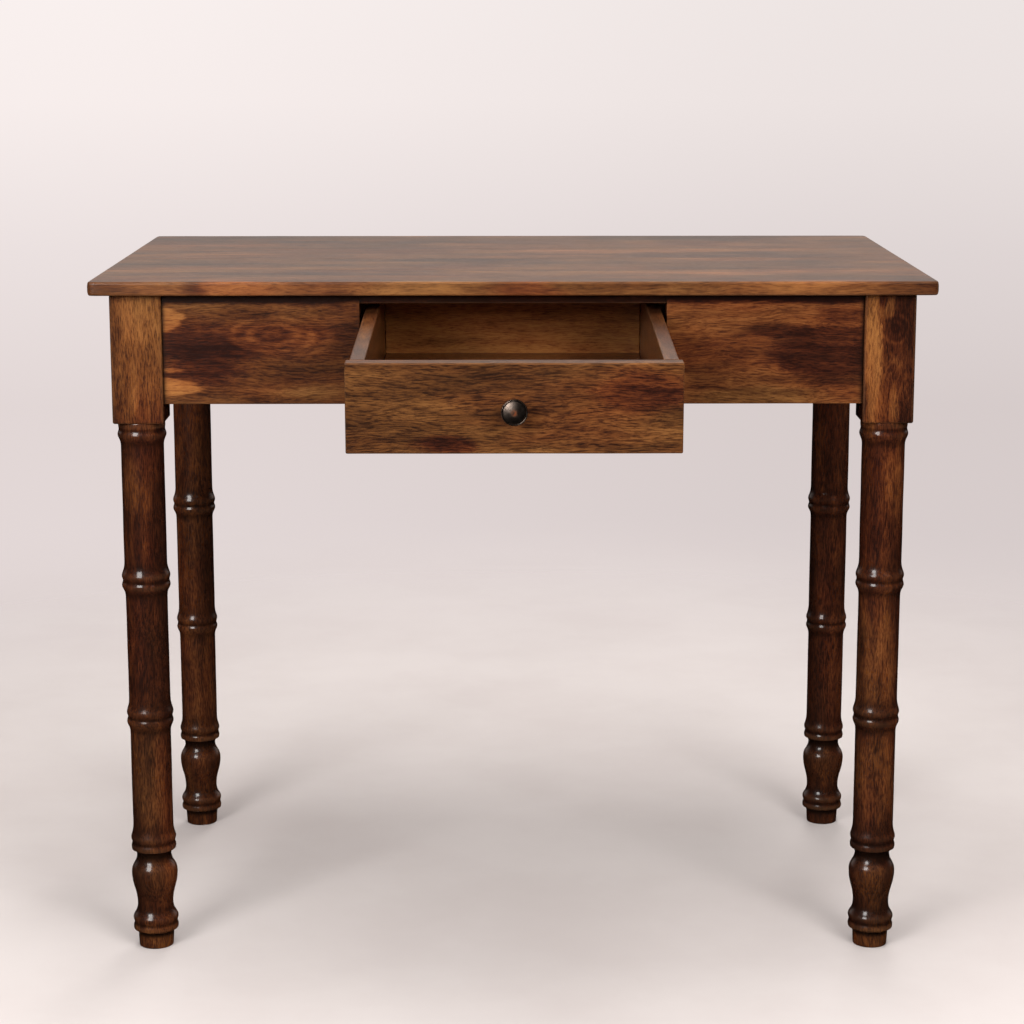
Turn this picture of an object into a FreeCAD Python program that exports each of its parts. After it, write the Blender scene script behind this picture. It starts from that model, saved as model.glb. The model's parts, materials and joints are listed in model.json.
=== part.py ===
"""Writing desk with bamboo-style turned legs and one drawer, standing with the drawer pulled open.

Frame: X to the right, the front faces -Y, Z up from the floor. The origin lies on the floor below
the middle of the tabletop. Lengths are millimetres and angles are degrees.
"""
import FreeCAD, Part
import Sketcher
import math
import os
import re

os.makedirs("parts", exist_ok=True)

DRIVING_SIZES = {
    "Tabletop": {
        "top_width": 900.0,
        "top_depth": 560.0,
        "top_thickness": 15.0,
        "desk_height": 750.0,
        "top_front_board": 131.0,
        "top_middle_board": 126.0,
        "top_edge_round": 2.0,
    },
    "Legs": {
        "leg_block": 55.0,
        "leg_spacing": 440.0,
        "overhang_side": 21.0,
        "overhang_front": 14.0,
        "block_bottom": 596.0,
        "block_round": 2.0,
        "foot_radius": 19.0,
        "foot_top_radius": 20.0,
        "foot_height": 17.0,
        "foot_collar_height": 28.0,
        "foot_collar_radius": 25.3,
        "vase_height": 49.0,
        "vase_radius": 19.7,
        "bulb_height": 86.6,
        "bulb_radius": 25.6,
        "neck_height": 107.0,
        "neck_radius": 19.0,
        "low_node_height": 121.5,
        "low_node_radius": 25.1,
        "low_shaft_radius": 22.3,
        "middle_node_height": 266.0,
        "middle_node_radius": 25.7,
        "middle_shaft_radius": 22.8,
        "high_node_height": 420.0,
        "high_node_radius": 26.6,
        "high_shaft_radius": 23.3,
        "crown_height": 587.0,
        "crown_radius": 26.6,
        "crown_ring_swell": 0.9,
        "bead_height": 8.0,
        "bead_drop": 0.6,
        "groove_depth": 1.8,
        "groove_width": 1.6,
        "lip_flare": 12.0,
        "ring_flare": 9.0,
    },
    "Aprons": {
        "apron_height": 118.0,
        "apron_thickness": 20.0,
        "apron_recess": 4.0,
        "apron_round": 1.0,
        "tenon_thickness": 10.0,
        "tenon_shoulder": 14.0,
        "tenon_length": 26.0,
        "joint_gap": 0.15,
        "joint_end_gap": 0.5,
        "corner_block_height": 45.0,
        "corner_block_width": 30.0,
        "corner_block_lift": 30.0,
        "corner_block_clearance": 8.0,
    },
    "Drawer opening": {
        "opening_width": 327.0,
        "rail_thickness": 10.0,
        "rail_tenon_length": 10.0,
        "rail_tenon_height": 5.0,
        "glide_radius": 3.0,
        "glide_proud": 0.6,
        "glide_setback": 6.0,
        "glide_fit": 0.08,
        "glide_end_gap": 0.5,
        "guide_thickness": 24.0,
        "guide_height": 70.0,
        "guide_gap": 1.0,
        "runner_width": 42.0,
        "runner_tenon_height": 40.0,
        "runner_tenon_length": 8.0,
        "kicker_gap": 0.6,
        "stop_width": 60.0,
        "stop_height": 30.0,
        "stop_thickness": 8.5,
    },
    "Drawer": {
        "drawer_pull": 290.0,
        "drawer_tip": 2.87,
        "drawer_length": 458.0,
        "drawer_height": 88.5,
        "drawer_side_gap": 1.5,
        "front_thickness": 19.0,
        "front_overlap": 3.75,
        "front_round": 1.5,
        "side_thickness": 15.0,
        "rim_round": 1.0,
        "run_gap": 0.3,
        "tongue_thickness": 7.0,
        "tongue_shoulder": 20.0,
        "tongue_length": 7.0,
        "bottom_thickness": 6.0,
        "bottom_lift": 11.0,
        "bottom_groove": 6.0,
    },
    "Knob": {
        "knob_radius": 13.0,
        "knob_neck_radius": 6.0,
        "knob_base_radius": 8.0,
        "knob_base_length": 2.5,
        "knob_neck_length": 13.5,
        "knob_rim": 4.0,
        "knob_dome": 3.0,
        "knob_ring_radius": 9.0,
        "knob_ring_depth": 1.0,
        "knob_round": 0.8,
        "screw_radius": 2.0,
        "screw_hole_gap": 0.4,
        "screw_bite": 9.0,
        "screw_head_radius": 4.0,
        "screw_head_height": 2.5,
    },
    "Top fixings": {
        "button_length": 32.0,
        "button_width": 25.0,
        "button_height": 16.0,
        "button_tongue_length": 8.0,
        "button_tongue_height": 6.0,
        "button_slot_gap": 0.5,
        "button_slot_play": 3.0,
        "button_spread": 135.0,
        "button_screw_radius": 2.0,
        "button_screw_bite": 9.0,
        "button_head_radius": 4.0,
        "button_head_height": 2.5,
        "button_screw_fit": 0.3,
    },
}

FULL_TURN = 360.0
QUARTER_TURN = 90.0
LEFT, RIGHT = -1, 1
SIDEWAYS = FreeCAD.Vector(1, 0, 0)
UPRIGHT = FreeCAD.Vector(0, 0, 1)
SAME_PLACE = 1e-6

doc = FreeCAD.newDocument("writing_desk")
sheet = doc.addObject("Spreadsheet::Sheet", "Sizes")


def fill_sheet():
    """Write every driving size into its own named cell, grouped under headings."""
    row = 1
    for heading, cells in DRIVING_SIZES.items():
        sheet.set(f"A{row}", heading)
        row += 1
        for alias, number in cells.items():
            sheet.set(f"A{row}", alias.replace("_", " "))
            sheet.set(f"B{row}", str(number))
            sheet.setAlias(f"B{row}", alias)
            row += 1
    doc.recompute()


fill_sheet()
ALIASES = {alias for cells in DRIVING_SIZES.values() for alias in cells}

# Places and lengths that follow from the driving sizes, as formulas
TOP_UNDER = "(desk_height - top_thickness)"
APRON_BOTTOM = f"({TOP_UNDER} - apron_height)"
LEG_X = "(top_width / 2 - overhang_side - leg_block / 2)"
LEG_FRONT_Y = "(overhang_front + leg_block / 2 - top_depth / 2)"
LEG_BACK_Y = f"({LEG_FRONT_Y} + leg_spacing)"
APRON_OFFSET = "(leg_block / 2 - apron_recess - apron_thickness / 2)"
PANEL_Y = f"({LEG_FRONT_Y} - leg_block / 2 + apron_recess)"
PANEL_BACK_Y = f"({PANEL_Y} + apron_thickness)"
BACK_INNER_Y = f"({LEG_BACK_Y} + leg_block / 2 - apron_recess - apron_thickness)"
PANEL_LENGTH = f"({LEG_X} - leg_block / 2 - opening_width / 2)"
PANEL_X = f"(opening_width / 2 + {PANEL_LENGTH} / 2)"
SIDE_INNER_X = f"({LEG_X} + leg_block / 2 - apron_recess - apron_thickness)"
SIDE_Y = f"(({LEG_FRONT_Y} + {LEG_BACK_Y}) / 2)"
TENON_HEIGHT = "(apron_height - 2 * tenon_shoulder)"
RUN_LENGTH = f"({BACK_INNER_Y} - {PANEL_BACK_Y})"
OPENING_BOTTOM = f"({APRON_BOTTOM} + rail_thickness)"
GLIDE_Y = f"({PANEL_Y} + glide_setback)"
GLIDE_Z = f"({OPENING_BOTTOM} + glide_proud - glide_radius)"
FRONT_WIDTH = "(opening_width - 2 * drawer_side_gap)"
BOX_HALF = f"({FRONT_WIDTH} / 2 - front_overlap)"
GUIDE_X = f"({BOX_HALF} + guide_gap + guide_thickness / 2)"
BACK_RISE = "(tan(drawer_tip) / drawer_pull * drawer_length ^ 2 / 4)"
KICKER_THICKNESS = (f"({TOP_UNDER} - {OPENING_BOTTOM} - glide_proud - run_gap - drawer_height"
                    f" - {BACK_RISE} - kicker_gap)")
CORNER_NEAR = "(2 * (leg_block - apron_recess - apron_thickness) + corner_block_clearance)"
CORNER_FAR = f"({CORNER_NEAR} + corner_block_width)"

# The drawer's own frame has its origin on the glide rod's axis while the drawer is shut
DRAWER_LOW = "(glide_radius + run_gap)"
DRAWER_FACE = "(-glide_setback)"
DRAWER_INSIDE_Y = f"({DRAWER_FACE} + front_thickness)"
DRAWER_BACK_Y = f"({DRAWER_FACE} + drawer_length - side_thickness)"
INSIDE_LENGTH = "(drawer_length - front_thickness - side_thickness)"
TONGUE_HEIGHT = "(drawer_height - 2 * tongue_shoulder)"
BOTTOM_MID_Z = f"({DRAWER_LOW} + bottom_lift + bottom_thickness / 2)"
DRAWER_MID_Z = f"({DRAWER_LOW} + drawer_height / 2)"
DRAWER_RIM = f"({DRAWER_LOW} + drawer_height)"


def formula(text):
    """Give a formula in the sheet's own names the form that the document reads."""
    def in_sheet(word):
        return f"Sizes.{word.group()}" if word.group() in ALIASES else word.group()

    return re.sub(r"[a-z_]+", in_sheet, text)


def number(text):
    """Work out a formula's present value."""
    return float(sheet.evalExpression(formula(text)))


def bind(thing, name, text):
    """Tie one property of a document object to a formula."""
    thing.setExpression(name, formula(text))


def place(thing, x, y, z, quarter_turns=0):
    """Put a sub-part at a place given by formulas, after so many quarter turns about the vertical."""
    turned = FreeCAD.Rotation(UPRIGHT, QUARTER_TURN * quarter_turns)
    thing.Placement = FreeCAD.Placement(FreeCAD.Vector(), turned)
    for axis, text in zip("xyz", (x, y, z)):
        bind(thing, f"Placement.Base.{axis}", text)


def place_in_drawer(thing):
    """Put a sub-part that is drawn in the drawer's frame where the pulled and tipped drawer holds it."""
    thing.Placement = FreeCAD.Placement(FreeCAD.Vector(), FreeCAD.Rotation(SIDEWAYS, number("drawer_tip")))
    bind(thing, "Placement.Base.y", f"{GLIDE_Y} - drawer_pull * cos(drawer_tip)")
    bind(thing, "Placement.Base.z", f"{GLIDE_Z} - drawer_pull * sin(drawer_tip)")
    bind(thing, "Placement.Rotation.Angle", "drawer_tip")


def new_body(label):
    """Start a sub-part that is built up from sketches."""
    body = doc.addObject("PartDesign::Body", label)
    body.Label = label
    return body


def new_sketch(body, role, centre):
    """Start a sketch parallel to one of the body's origin planes, its own origin at centre.

    The centre is given along the sketch's right, its up and its normal. Right, up and normal are
    X, Y, Z on XY_Plane, X, Z, -Y on XZ_Plane and Y, Z, X on YZ_Plane.
    """
    plane = next(item for item in body.Origin.OriginFeatures if item.Role == role)
    sketch = body.newObject("Sketcher::SketchObject", "Sketch")
    sketch.AttachmentSupport = [(plane, "")]
    sketch.MapMode = "FlatFace"
    for axis, text in zip("xyz", centre):
        bind(sketch, f"AttachmentOffset.Base.{axis}", text)
    return sketch


def constrain(sketch, text, kind, *where):
    """Add a dimension to a sketch and tie it to a formula."""
    index = sketch.addConstraint(Sketcher.Constraint(kind, *where, number(text)))
    bind(sketch, f"Constraints[{index}]", text)


def rectangle(sketch, width, height):
    """Draw a rectangle about the sketch's origin."""
    w, h = number(width) / 2, number(height) / 2
    corners = [FreeCAD.Vector(x, y, 0) for x, y in ((-w, -h), (w, -h), (w, h), (-w, h))]
    for low, high in zip(corners, corners[1:] + corners[:1]):
        sketch.addGeometry(Part.LineSegment(low, high))
    for side in range(4):
        sketch.addConstraint(Sketcher.Constraint("Coincident", side, 2, (side + 1) % 4, 1))
        sketch.addConstraint(Sketcher.Constraint("Vertical" if side % 2 else "Horizontal", side))
    sketch.addConstraint(Sketcher.Constraint("Symmetric", 0, 1, 1, 2, -1, 1))
    constrain(sketch, width, "DistanceX", 0, 1, 0, 2)
    constrain(sketch, height, "DistanceY", 1, 1, 1, 2)


def circle(sketch, radius):
    """Draw a circle about the sketch's origin."""
    sketch.addGeometry(Part.Circle(FreeCAD.Vector(), FreeCAD.Vector(0, 0, 1), number(radius)))
    sketch.addConstraint(Sketcher.Constraint("Coincident", 0, 3, -1, 1))
    constrain(sketch, radius, "Radius", 0)


def arc_between(start, end, radius, side):
    """Make the short arc from start to end, bulging to the right of the way for side RIGHT."""
    chord = end - start
    middle = (start + end) / 2
    rise = math.sqrt(max(radius**2 - (chord.Length / 2) ** 2, 0.0))
    left = FreeCAD.Vector(-chord.y, chord.x, 0).normalize()
    centre = middle + left * rise * side
    first, last = (start, end) if side == RIGHT else (end, start)
    angles = [math.atan2(p.y - centre.y, p.x - centre.x) for p in (first, last)]
    return Part.ArcOfCircle(Part.Circle(centre, FreeCAD.Vector(0, 0, 1), radius), *angles)


def outline(sketch, steps):
    """Draw a closed outline through steps, each dimensioned from the sketch's origin.

    A step is (x, y) where a straight line leads to it, and (x, y, radius, side) where an arc does.
    The outline closes with a straight line from the last step to the first.
    """
    points = [FreeCAD.Vector(number(step[0]), number(step[1]), 0) for step in steps]
    ends = []
    for index, step in enumerate(steps):
        start, end = points[index - 1], points[index]
        if len(step) == 2:
            sketch.addGeometry(Part.LineSegment(start, end))
            ends.append((1, 2))
            continue
        sketch.addGeometry(arc_between(start, end, number(step[2]), step[3]))
        ends.append((1, 2) if step[3] == RIGHT else (2, 1))
    for index in range(len(steps)):
        before = (index - 1) % len(steps)
        join = Sketcher.Constraint("Coincident", before, ends[before][1], index, ends[index][0])
        sketch.addConstraint(join)
    for index, step in enumerate(steps):
        for text, kind, axis in ((step[0], "DistanceX", -2), (step[1], "DistanceY", -1)):
            if text == "0":
                sketch.addConstraint(Sketcher.Constraint("PointOnObject", index, ends[index][1], axis))
            else:
                constrain(sketch, text, kind, -1, 1, index, ends[index][1])
        if len(step) > 2:
            constrain(sketch, step[2], "Radius", index)


def add(body, sketch, length, back=False, both=False):
    """Raise a sketch into material along its normal, or against it with back, or both ways."""
    pad = body.newObject("PartDesign::Pad", "Pad")
    pad.Profile = sketch
    pad.Reversed = back
    pad.Midplane = both
    bind(pad, "Length", length)


def cut(body, sketch, length, back=False, both=False):
    """Cut a sketch out of the material along its normal, or against it with back, or both ways."""
    doc.recompute()
    before = body.Shape.Volume
    pocket = body.newObject("PartDesign::Pocket", "Pocket")
    pocket.Profile = sketch
    pocket.Reversed = not back
    pocket.Midplane = both
    bind(pocket, "Length", length)
    doc.recompute()
    if body.Shape.Volume >= before:
        raise RuntimeError(f"a cut in {body.Label} takes nothing away")


def turn(body, sketch, axis):
    """Turn a sketch round one of its own axes."""
    revolution = body.newObject("PartDesign::Revolution", "Turning")
    revolution.Profile = sketch
    revolution.ReferenceAxis = (sketch, [axis])
    revolution.Angle = FULL_TURN


def add_block(body, role, centre, width, height, length, **way):
    """Add a rectangular block of material."""
    sketch = new_sketch(body, role, centre)
    rectangle(sketch, width, height)
    add(body, sketch, length, **way)


def cut_block(body, role, centre, width, height, length, **way):
    """Cut a rectangular block out of the material."""
    sketch = new_sketch(body, role, centre)
    rectangle(sketch, width, height)
    cut(body, sketch, length, **way)


def cut_hole(body, role, centre, radius, length, **way):
    """Cut a round hole out of the material."""
    sketch = new_sketch(body, role, centre)
    circle(sketch, radius)
    cut(body, sketch, length, **way)


def round_edges(body, radius, chosen):
    """Round those edges of a body for which chosen, given the edge's middle and direction, says yes."""
    doc.recompute()
    base = body.Tip
    names = []
    for index, edge in enumerate(base.Shape.Edges, start=1):
        middle = edge.valueAt((edge.FirstParameter + edge.LastParameter) / 2)
        along = edge.tangentAt(edge.FirstParameter)
        if isinstance(edge.Curve, Part.Line) and chosen(middle, along):
            names.append(f"Edge{index}")
    fillet = body.newObject("PartDesign::Fillet", "Round")
    fillet.Base = (base, names)
    bind(fillet, "Radius", radius)


def same(one, other):
    """Tell whether two lengths are the same place."""
    return math.isclose(one, other, abs_tol=SAME_PLACE)


def fixing_spots():
    """Give each top fixing's place on the inner face of its apron and the quarter turns of its way inwards.

    With no turn, the way inwards is +Y.
    """
    spots = []
    for side in (LEFT, RIGHT):
        spots.append((f"{side} * {PANEL_X}", PANEL_BACK_Y, 0))
        spots.append((f"{side} * {PANEL_X}", BACK_INNER_Y, 2))
        for step in (LEFT, RIGHT):
            spots.append((f"{side} * {SIDE_INNER_X}", f"({SIDE_Y} + {step} * button_spread)", side))
    return spots


def drill_top_board(board, depth, middle_y):
    """Drill the pilot holes of those fixings whose screws reach into this board of the top."""
    radius = "(button_screw_radius + joint_gap)"
    for x, y, quarter_turns in fixing_spots():
        inwards_x, inwards_y = {0: (0, 1), 1: (-1, 0), 2: (0, -1), -1: (1, 0)}[quarter_turns]
        hole_x = f"{x} + {inwards_x} * button_length / 2"
        from_middle = f"{y} + {inwards_y} * button_length / 2 - ({middle_y})"
        if abs(number(from_middle)) < number(f"{depth} / 2 + {radius}"):
            cut_hole(board, "XY_Plane", (hole_x, from_middle, "0"), radius,
                     "button_screw_bite + joint_end_gap")


def make_top_board(label, depth, middle_y, outer_sides):
    """Make one board of the top; outer_sides says which of its long edges lie on the top's rim."""
    board = new_body(label)
    add_block(board, "XY_Plane", ("0", "0", "0"), "top_width", depth, "top_thickness")
    half_width, half_depth = number("top_width") / 2, number(depth) / 2

    def on_rim(middle, along):
        on_end = same(abs(middle.x), half_width)
        on_long_edge = any(same(middle.y, side * half_depth) for side in outer_sides)
        upright = same(abs(along.z), 1)
        return on_long_edge or (on_end and not upright)

    round_edges(board, "top_edge_round", on_rim)
    drill_top_board(board, depth, middle_y)
    place(board, "0", middle_y, TOP_UNDER)


def make_top():
    """Make the four boards that are glued edge to edge, from the front to the back."""
    front, middle = "top_front_board", "top_middle_board"
    back = "(top_depth - top_front_board - 2 * top_middle_board)"
    make_top_board("top_board_1", front, f"{front} / 2 - top_depth / 2", [LEFT])
    make_top_board("top_board_2", middle, f"{front} + {middle} / 2 - top_depth / 2", [])
    make_top_board("top_board_3", middle, f"{front} + {middle} * 3 / 2 - top_depth / 2", [])
    make_top_board("top_board_4", back, f"top_depth / 2 - {back} / 2", [RIGHT])


BEAD_ARC = ("((bead_height - groove_width / 2) ^ 2 / (4 * (bead_drop + groove_depth))"
            " + (bead_drop + groove_depth) / 4)")


def swell(radius, rise, thin):
    """Give the radius of the hollow arc that leaves a straight shaft and swells out to a bead's end."""
    out = f"({radius} - bead_drop - {thin})"
    return f"({out} ^ 2 + {rise} ^ 2) / (2 * {out})"


def ring_steps(height, radius, thin, rise):
    """Give the steps up from a thin shaft, out to the ring below a groove and in to the groove."""
    return [
        (f"{radius} - bead_drop", f"{height} - bead_height", swell(radius, rise, thin), LEFT),
        (f"{radius} - groove_depth", f"{height} - groove_width / 2", BEAD_ARC, RIGHT),
    ]


def lip_steps(height, radius, thin, rise):
    """Give the steps up from a groove, out over the lip above it and in to the next thin shaft."""
    return [
        (f"{radius} - groove_depth", f"{height} + groove_width / 2"),
        (f"{radius} - bead_drop", f"{height} + bead_height", BEAD_ARC, RIGHT),
        (thin, f"{height} + bead_height + {rise}", swell(radius, rise, thin), LEFT),
    ]


def wave_steps(low, high, low_radius, high_radius):
    """Give the two equal arcs that lead smoothly between a waist and a bulge, from low to high."""
    out, up = f"({high_radius} - {low_radius})", f"({high} - {low})"
    bend = f"({out} ^ 2 + {up} ^ 2) / (4 * sqrt({out} ^ 2))"
    first, second = (LEFT, RIGHT) if number(out) > 0 else (RIGHT, LEFT)
    return [
        (f"({low_radius} + {high_radius}) / 2", f"({low} + {high}) / 2", bend, first),
        (high_radius, high, bend, second),
    ]


def leg_steps():
    """Give the outline of the turned leg from the floor up to its square block."""
    steps = [("0", "0"), ("foot_radius", "0"), ("foot_top_radius", "foot_height")]
    foot_rise = "(foot_collar_height - bead_height - foot_height)"
    vase_rise = "(vase_height - foot_collar_height - bead_height)"
    steps += ring_steps("foot_collar_height", "foot_collar_radius", "foot_top_radius", foot_rise)
    steps += lip_steps("foot_collar_height", "foot_collar_radius", "vase_radius", vase_rise)
    steps += wave_steps("vase_height", "bulb_height", "vase_radius", "bulb_radius")
    steps += wave_steps("bulb_height", "neck_height", "bulb_radius", "neck_radius")
    neck_rise = "(low_node_height - bead_height - neck_height)"
    steps += ring_steps("low_node_height", "low_node_radius", "neck_radius", neck_rise)
    steps += lip_steps("low_node_height", "low_node_radius", "low_shaft_radius", "lip_flare")
    for node, below, above in (("middle_node", "low_shaft_radius", "middle_shaft_radius"),
                               ("high_node", "middle_shaft_radius", "high_shaft_radius")):
        steps.append((below, f"{node}_height - bead_height - ring_flare"))
        steps += ring_steps(f"{node}_height", f"{node}_radius", below, "ring_flare")
        steps += lip_steps(f"{node}_height", f"{node}_radius", above, "lip_flare")
    steps.append(("high_shaft_radius", "crown_height - bead_height - ring_flare"))
    steps += ring_steps("crown_height", "crown_radius", "high_shaft_radius", "ring_flare")
    steps.append(("crown_radius - groove_depth", "crown_height + groove_width / 2"))
    half_ring = "(block_bottom - crown_height - groove_width / 2) / 2"
    ring_arc = f"(({half_ring}) ^ 2 + crown_ring_swell ^ 2) / (2 * crown_ring_swell)"
    steps.append(("crown_radius - groove_depth", "block_bottom", ring_arc, RIGHT))
    steps.append(("0", "block_bottom"))
    return steps


def make_leg(label, x, y, quarter_turns):
    """Make a leg: a turning with three bamboo nodes, under a square block with two mortises.

    Every leg is the same piece. Its mortises face +X and +Y before it is turned to its corner.
    """
    leg = new_body(label)
    profile = new_sketch(leg, "XZ_Plane", ("0", "0", "0"))
    outline(profile, leg_steps())
    turn(leg, profile, "V_Axis")
    add_block(leg, "XY_Plane", ("0", "0", "block_bottom"), "leg_block", "leg_block",
              f"{TOP_UNDER} - block_bottom")
    half, bottom = number("leg_block") / 2, number("block_bottom")

    def upright_or_lower(middle, along):
        upright = same(abs(middle.x), half) and same(abs(middle.y), half)
        return upright or same(middle.z, bottom)

    round_edges(leg, "block_round", upright_or_lower)
    mortise_z = f"{APRON_BOTTOM} + apron_height / 2"
    width, height = "tenon_thickness + 2 * joint_gap", f"{TENON_HEIGHT} + 2 * joint_gap"
    depth = "tenon_length + joint_end_gap"
    for plane, face, back in (("YZ_Plane", "leg_block / 2", True), ("XZ_Plane", "-leg_block / 2", False)):
        cut_block(leg, plane, (f"-{APRON_OFFSET}", mortise_z, face), width, height, depth, back=back)
    place(leg, x, y, "0", quarter_turns)


def make_legs():
    """Make the four legs, turned so that their mortises face the aprons."""
    make_leg("leg_front_left", f"-{LEG_X}", LEG_FRONT_Y, 0)
    make_leg("leg_front_right", LEG_X, LEG_FRONT_Y, 1)
    make_leg("leg_back_right", LEG_X, LEG_BACK_Y, 2)
    make_leg("leg_back_left", f"-{LEG_X}", LEG_BACK_Y, 3)


def new_apron(label, length, tenon_ends):
    """Start an apron along its own X with its outer face to -Y, and a tenon on each end that is named."""
    apron = new_body(label)
    add_block(apron, "XY_Plane", ("0", "0", "0"), length, "apron_thickness", "apron_height")
    half_thickness = number("apron_thickness") / 2

    def on_lower_outer_edge(middle, along):
        return same(middle.y, -half_thickness) and same(middle.z, 0)

    round_edges(apron, "apron_round", on_lower_outer_edge)
    for end in tenon_ends:
        add_block(apron, "YZ_Plane", ("0", "apron_height / 2", f"{end} * {length} / 2"),
                  "tenon_thickness", TENON_HEIGHT, "tenon_length", back=end == LEFT)
    return apron


BUTTON_SLOT_Z = "apron_height - button_height + button_tongue_height / 2"


def cut_button_slot(apron, along):
    """Cut the slot in an apron's inner face that a button's tongue hooks into."""
    cut_block(apron, "XZ_Plane", (along, BUTTON_SLOT_Z, "-apron_thickness / 2"),
              "button_width + 2 * button_slot_play", "button_tongue_height + 2 * button_slot_gap",
              "button_tongue_length + button_slot_gap")


def cut_runner_mortise(apron, along):
    """Cut the mortise in an apron's inner face for a drawer runner's end."""
    cut_block(apron, "XZ_Plane", (along, f"{RUNNER_TENON_Z} - {APRON_BOTTOM}", "-apron_thickness / 2"),
              "tenon_thickness + 2 * joint_gap", "runner_tenon_height + 2 * joint_gap",
              "runner_tenon_length + joint_end_gap")


RUNNER_TOP = f"({OPENING_BOTTOM} + glide_proud)"
RUNNER_TENON_Z = f"({RUNNER_TOP} + guide_height / 2)"


def make_front_panel(label, side):
    """Make the front panel on one side of the drawer opening."""
    panel = new_apron(label, PANEL_LENGTH, [side])
    for z in ("rail_thickness / 2", "apron_height - rail_thickness / 2"):
        cut_block(panel, "YZ_Plane", ("0", z, f"{-side} * {PANEL_LENGTH} / 2"),
                  "tenon_thickness + 2 * joint_gap", "rail_tenon_height + 2 * joint_gap",
                  "rail_tenon_length + joint_end_gap", back=side == LEFT)
    cut_runner_mortise(panel, f"{side} * ({GUIDE_X} - {PANEL_X})")
    cut_button_slot(panel, "0")
    place(panel, f"{side} * {PANEL_X}", f"{PANEL_Y} + apron_thickness / 2", APRON_BOTTOM)


def make_aprons():
    """Make the two front panels and the side and back aprons between the legs."""
    make_front_panel("apron_front_left", LEFT)
    make_front_panel("apron_front_right", RIGHT)
    side_length = "(leg_spacing - leg_block)"
    for label, side in (("apron_left", LEFT), ("apron_right", RIGHT)):
        apron = new_apron(label, side_length, [LEFT, RIGHT])
        for step in (LEFT, RIGHT):
            cut_button_slot(apron, f"{step} * button_spread")
        place(apron, f"{side} * ({LEG_X} + {APRON_OFFSET})", SIDE_Y, APRON_BOTTOM, side)
    back = new_apron("apron_back", f"(2 * {LEG_X} - leg_block)", [LEFT, RIGHT])
    for side in (LEFT, RIGHT):
        cut_runner_mortise(back, f"{side} * {GUIDE_X}")
        cut_button_slot(back, f"{side} * {PANEL_X}")
    place(back, "0", f"{LEG_BACK_Y} + {APRON_OFFSET}", APRON_BOTTOM, 2)


def make_corner_blocks():
    """Make the slanted blocks that brace the inner corners behind the legs."""
    corners = (("front_left", f"-{SIDE_INNER_X}", PANEL_BACK_Y), ("front_right", SIDE_INNER_X, PANEL_BACK_Y),
               ("back_right", SIDE_INNER_X, BACK_INNER_Y), ("back_left", f"-{SIDE_INNER_X}", BACK_INNER_Y))
    for quarter_turns, (name, x, y) in enumerate(corners):
        block = new_body(f"corner_block_{name}")
        sketch = new_sketch(block, "XY_Plane", ("0", "0", "0"))
        outline(sketch, [(CORNER_NEAR, "0"), (CORNER_FAR, "0"), ("0", CORNER_FAR), ("0", CORNER_NEAR)])
        add(block, sketch, "corner_block_height")
        place(block, x, y, f"{APRON_BOTTOM} + corner_block_lift", quarter_turns)


def new_rail(label, z):
    """Start a thin rail across the drawer opening, tenoned into the two front panels."""
    rail = new_body(label)
    add_block(rail, "XY_Plane", ("0", "0", "0"), "opening_width", "apron_thickness", "rail_thickness")
    for end in (LEFT, RIGHT):
        add_block(rail, "YZ_Plane", ("0", "rail_thickness / 2", f"{end} * opening_width / 2"),
                  "tenon_thickness", "rail_tenon_height", "rail_tenon_length", back=end == LEFT)
    place(rail, "0", f"{PANEL_Y} + apron_thickness / 2", z)
    return rail


def make_rails():
    """Make the rails above and below the drawer, and the round glide held in the lower one."""
    new_rail("front_top_rail", f"{TOP_UNDER} - rail_thickness")
    low = new_rail("front_bottom_rail", APRON_BOTTOM)
    glide_y, glide_z = "glide_setback - apron_thickness / 2", "rail_thickness + glide_proud - glide_radius"
    cut_hole(low, "YZ_Plane", (glide_y, glide_z, "0"), "glide_radius + glide_fit", "opening_width", both=True)
    glide = new_body("drawer_glide")
    sketch = new_sketch(glide, "YZ_Plane", ("0", "0", "0"))
    circle(sketch, "glide_radius")
    add(glide, sketch, "opening_width - 2 * glide_end_gap", both=True)
    place(glide, "0", GLIDE_Y, GLIDE_Z)


def make_runners():
    """Make what guides the drawer inside the desk: runners with guides, kickers and the stop."""
    for name, side in (("left", LEFT), ("right", RIGHT)):
        runner = new_body(f"drawer_runner_{name}")
        outer = f"({GUIDE_X} + guide_thickness / 2)"
        ledge_x = f"{side} * ({outer} - runner_width / 2)"
        run_middle = f"({PANEL_BACK_Y} + {BACK_INNER_Y}) / 2"
        ledge_height = f"({RUNNER_TOP} - {APRON_BOTTOM})"
        add_block(runner, "XY_Plane", ("0", "0", "0"), "runner_width", RUN_LENGTH, ledge_height)
        web_x = f"{side} * (runner_width - guide_thickness) / 2"
        add_block(runner, "XY_Plane", (web_x, "0", ledge_height),
                  "guide_thickness", RUN_LENGTH, "guide_height")
        for end in (LEFT, RIGHT):
            end_face = (web_x, f"{ledge_height} + guide_height / 2", f"{end} * {RUN_LENGTH} / 2")
            add_block(runner, "XZ_Plane", end_face,
                      "tenon_thickness", "runner_tenon_height", "runner_tenon_length", back=end == LEFT)
        place(runner, ledge_x, run_middle, APRON_BOTTOM)
        kicker = new_body(f"drawer_kicker_{name}")
        add_block(kicker, "XY_Plane", ("0", "0", "0"), "runner_width", RUN_LENGTH, KICKER_THICKNESS)
        place(kicker, ledge_x, run_middle, f"{TOP_UNDER} - {KICKER_THICKNESS}")
    stop = new_body("drawer_stop")
    add_block(stop, "XY_Plane", ("0", "0", "0"), "stop_width", "stop_thickness", "stop_height")
    place(stop, "0", f"{BACK_INNER_Y} - stop_thickness / 2", RUNNER_TOP)


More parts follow.
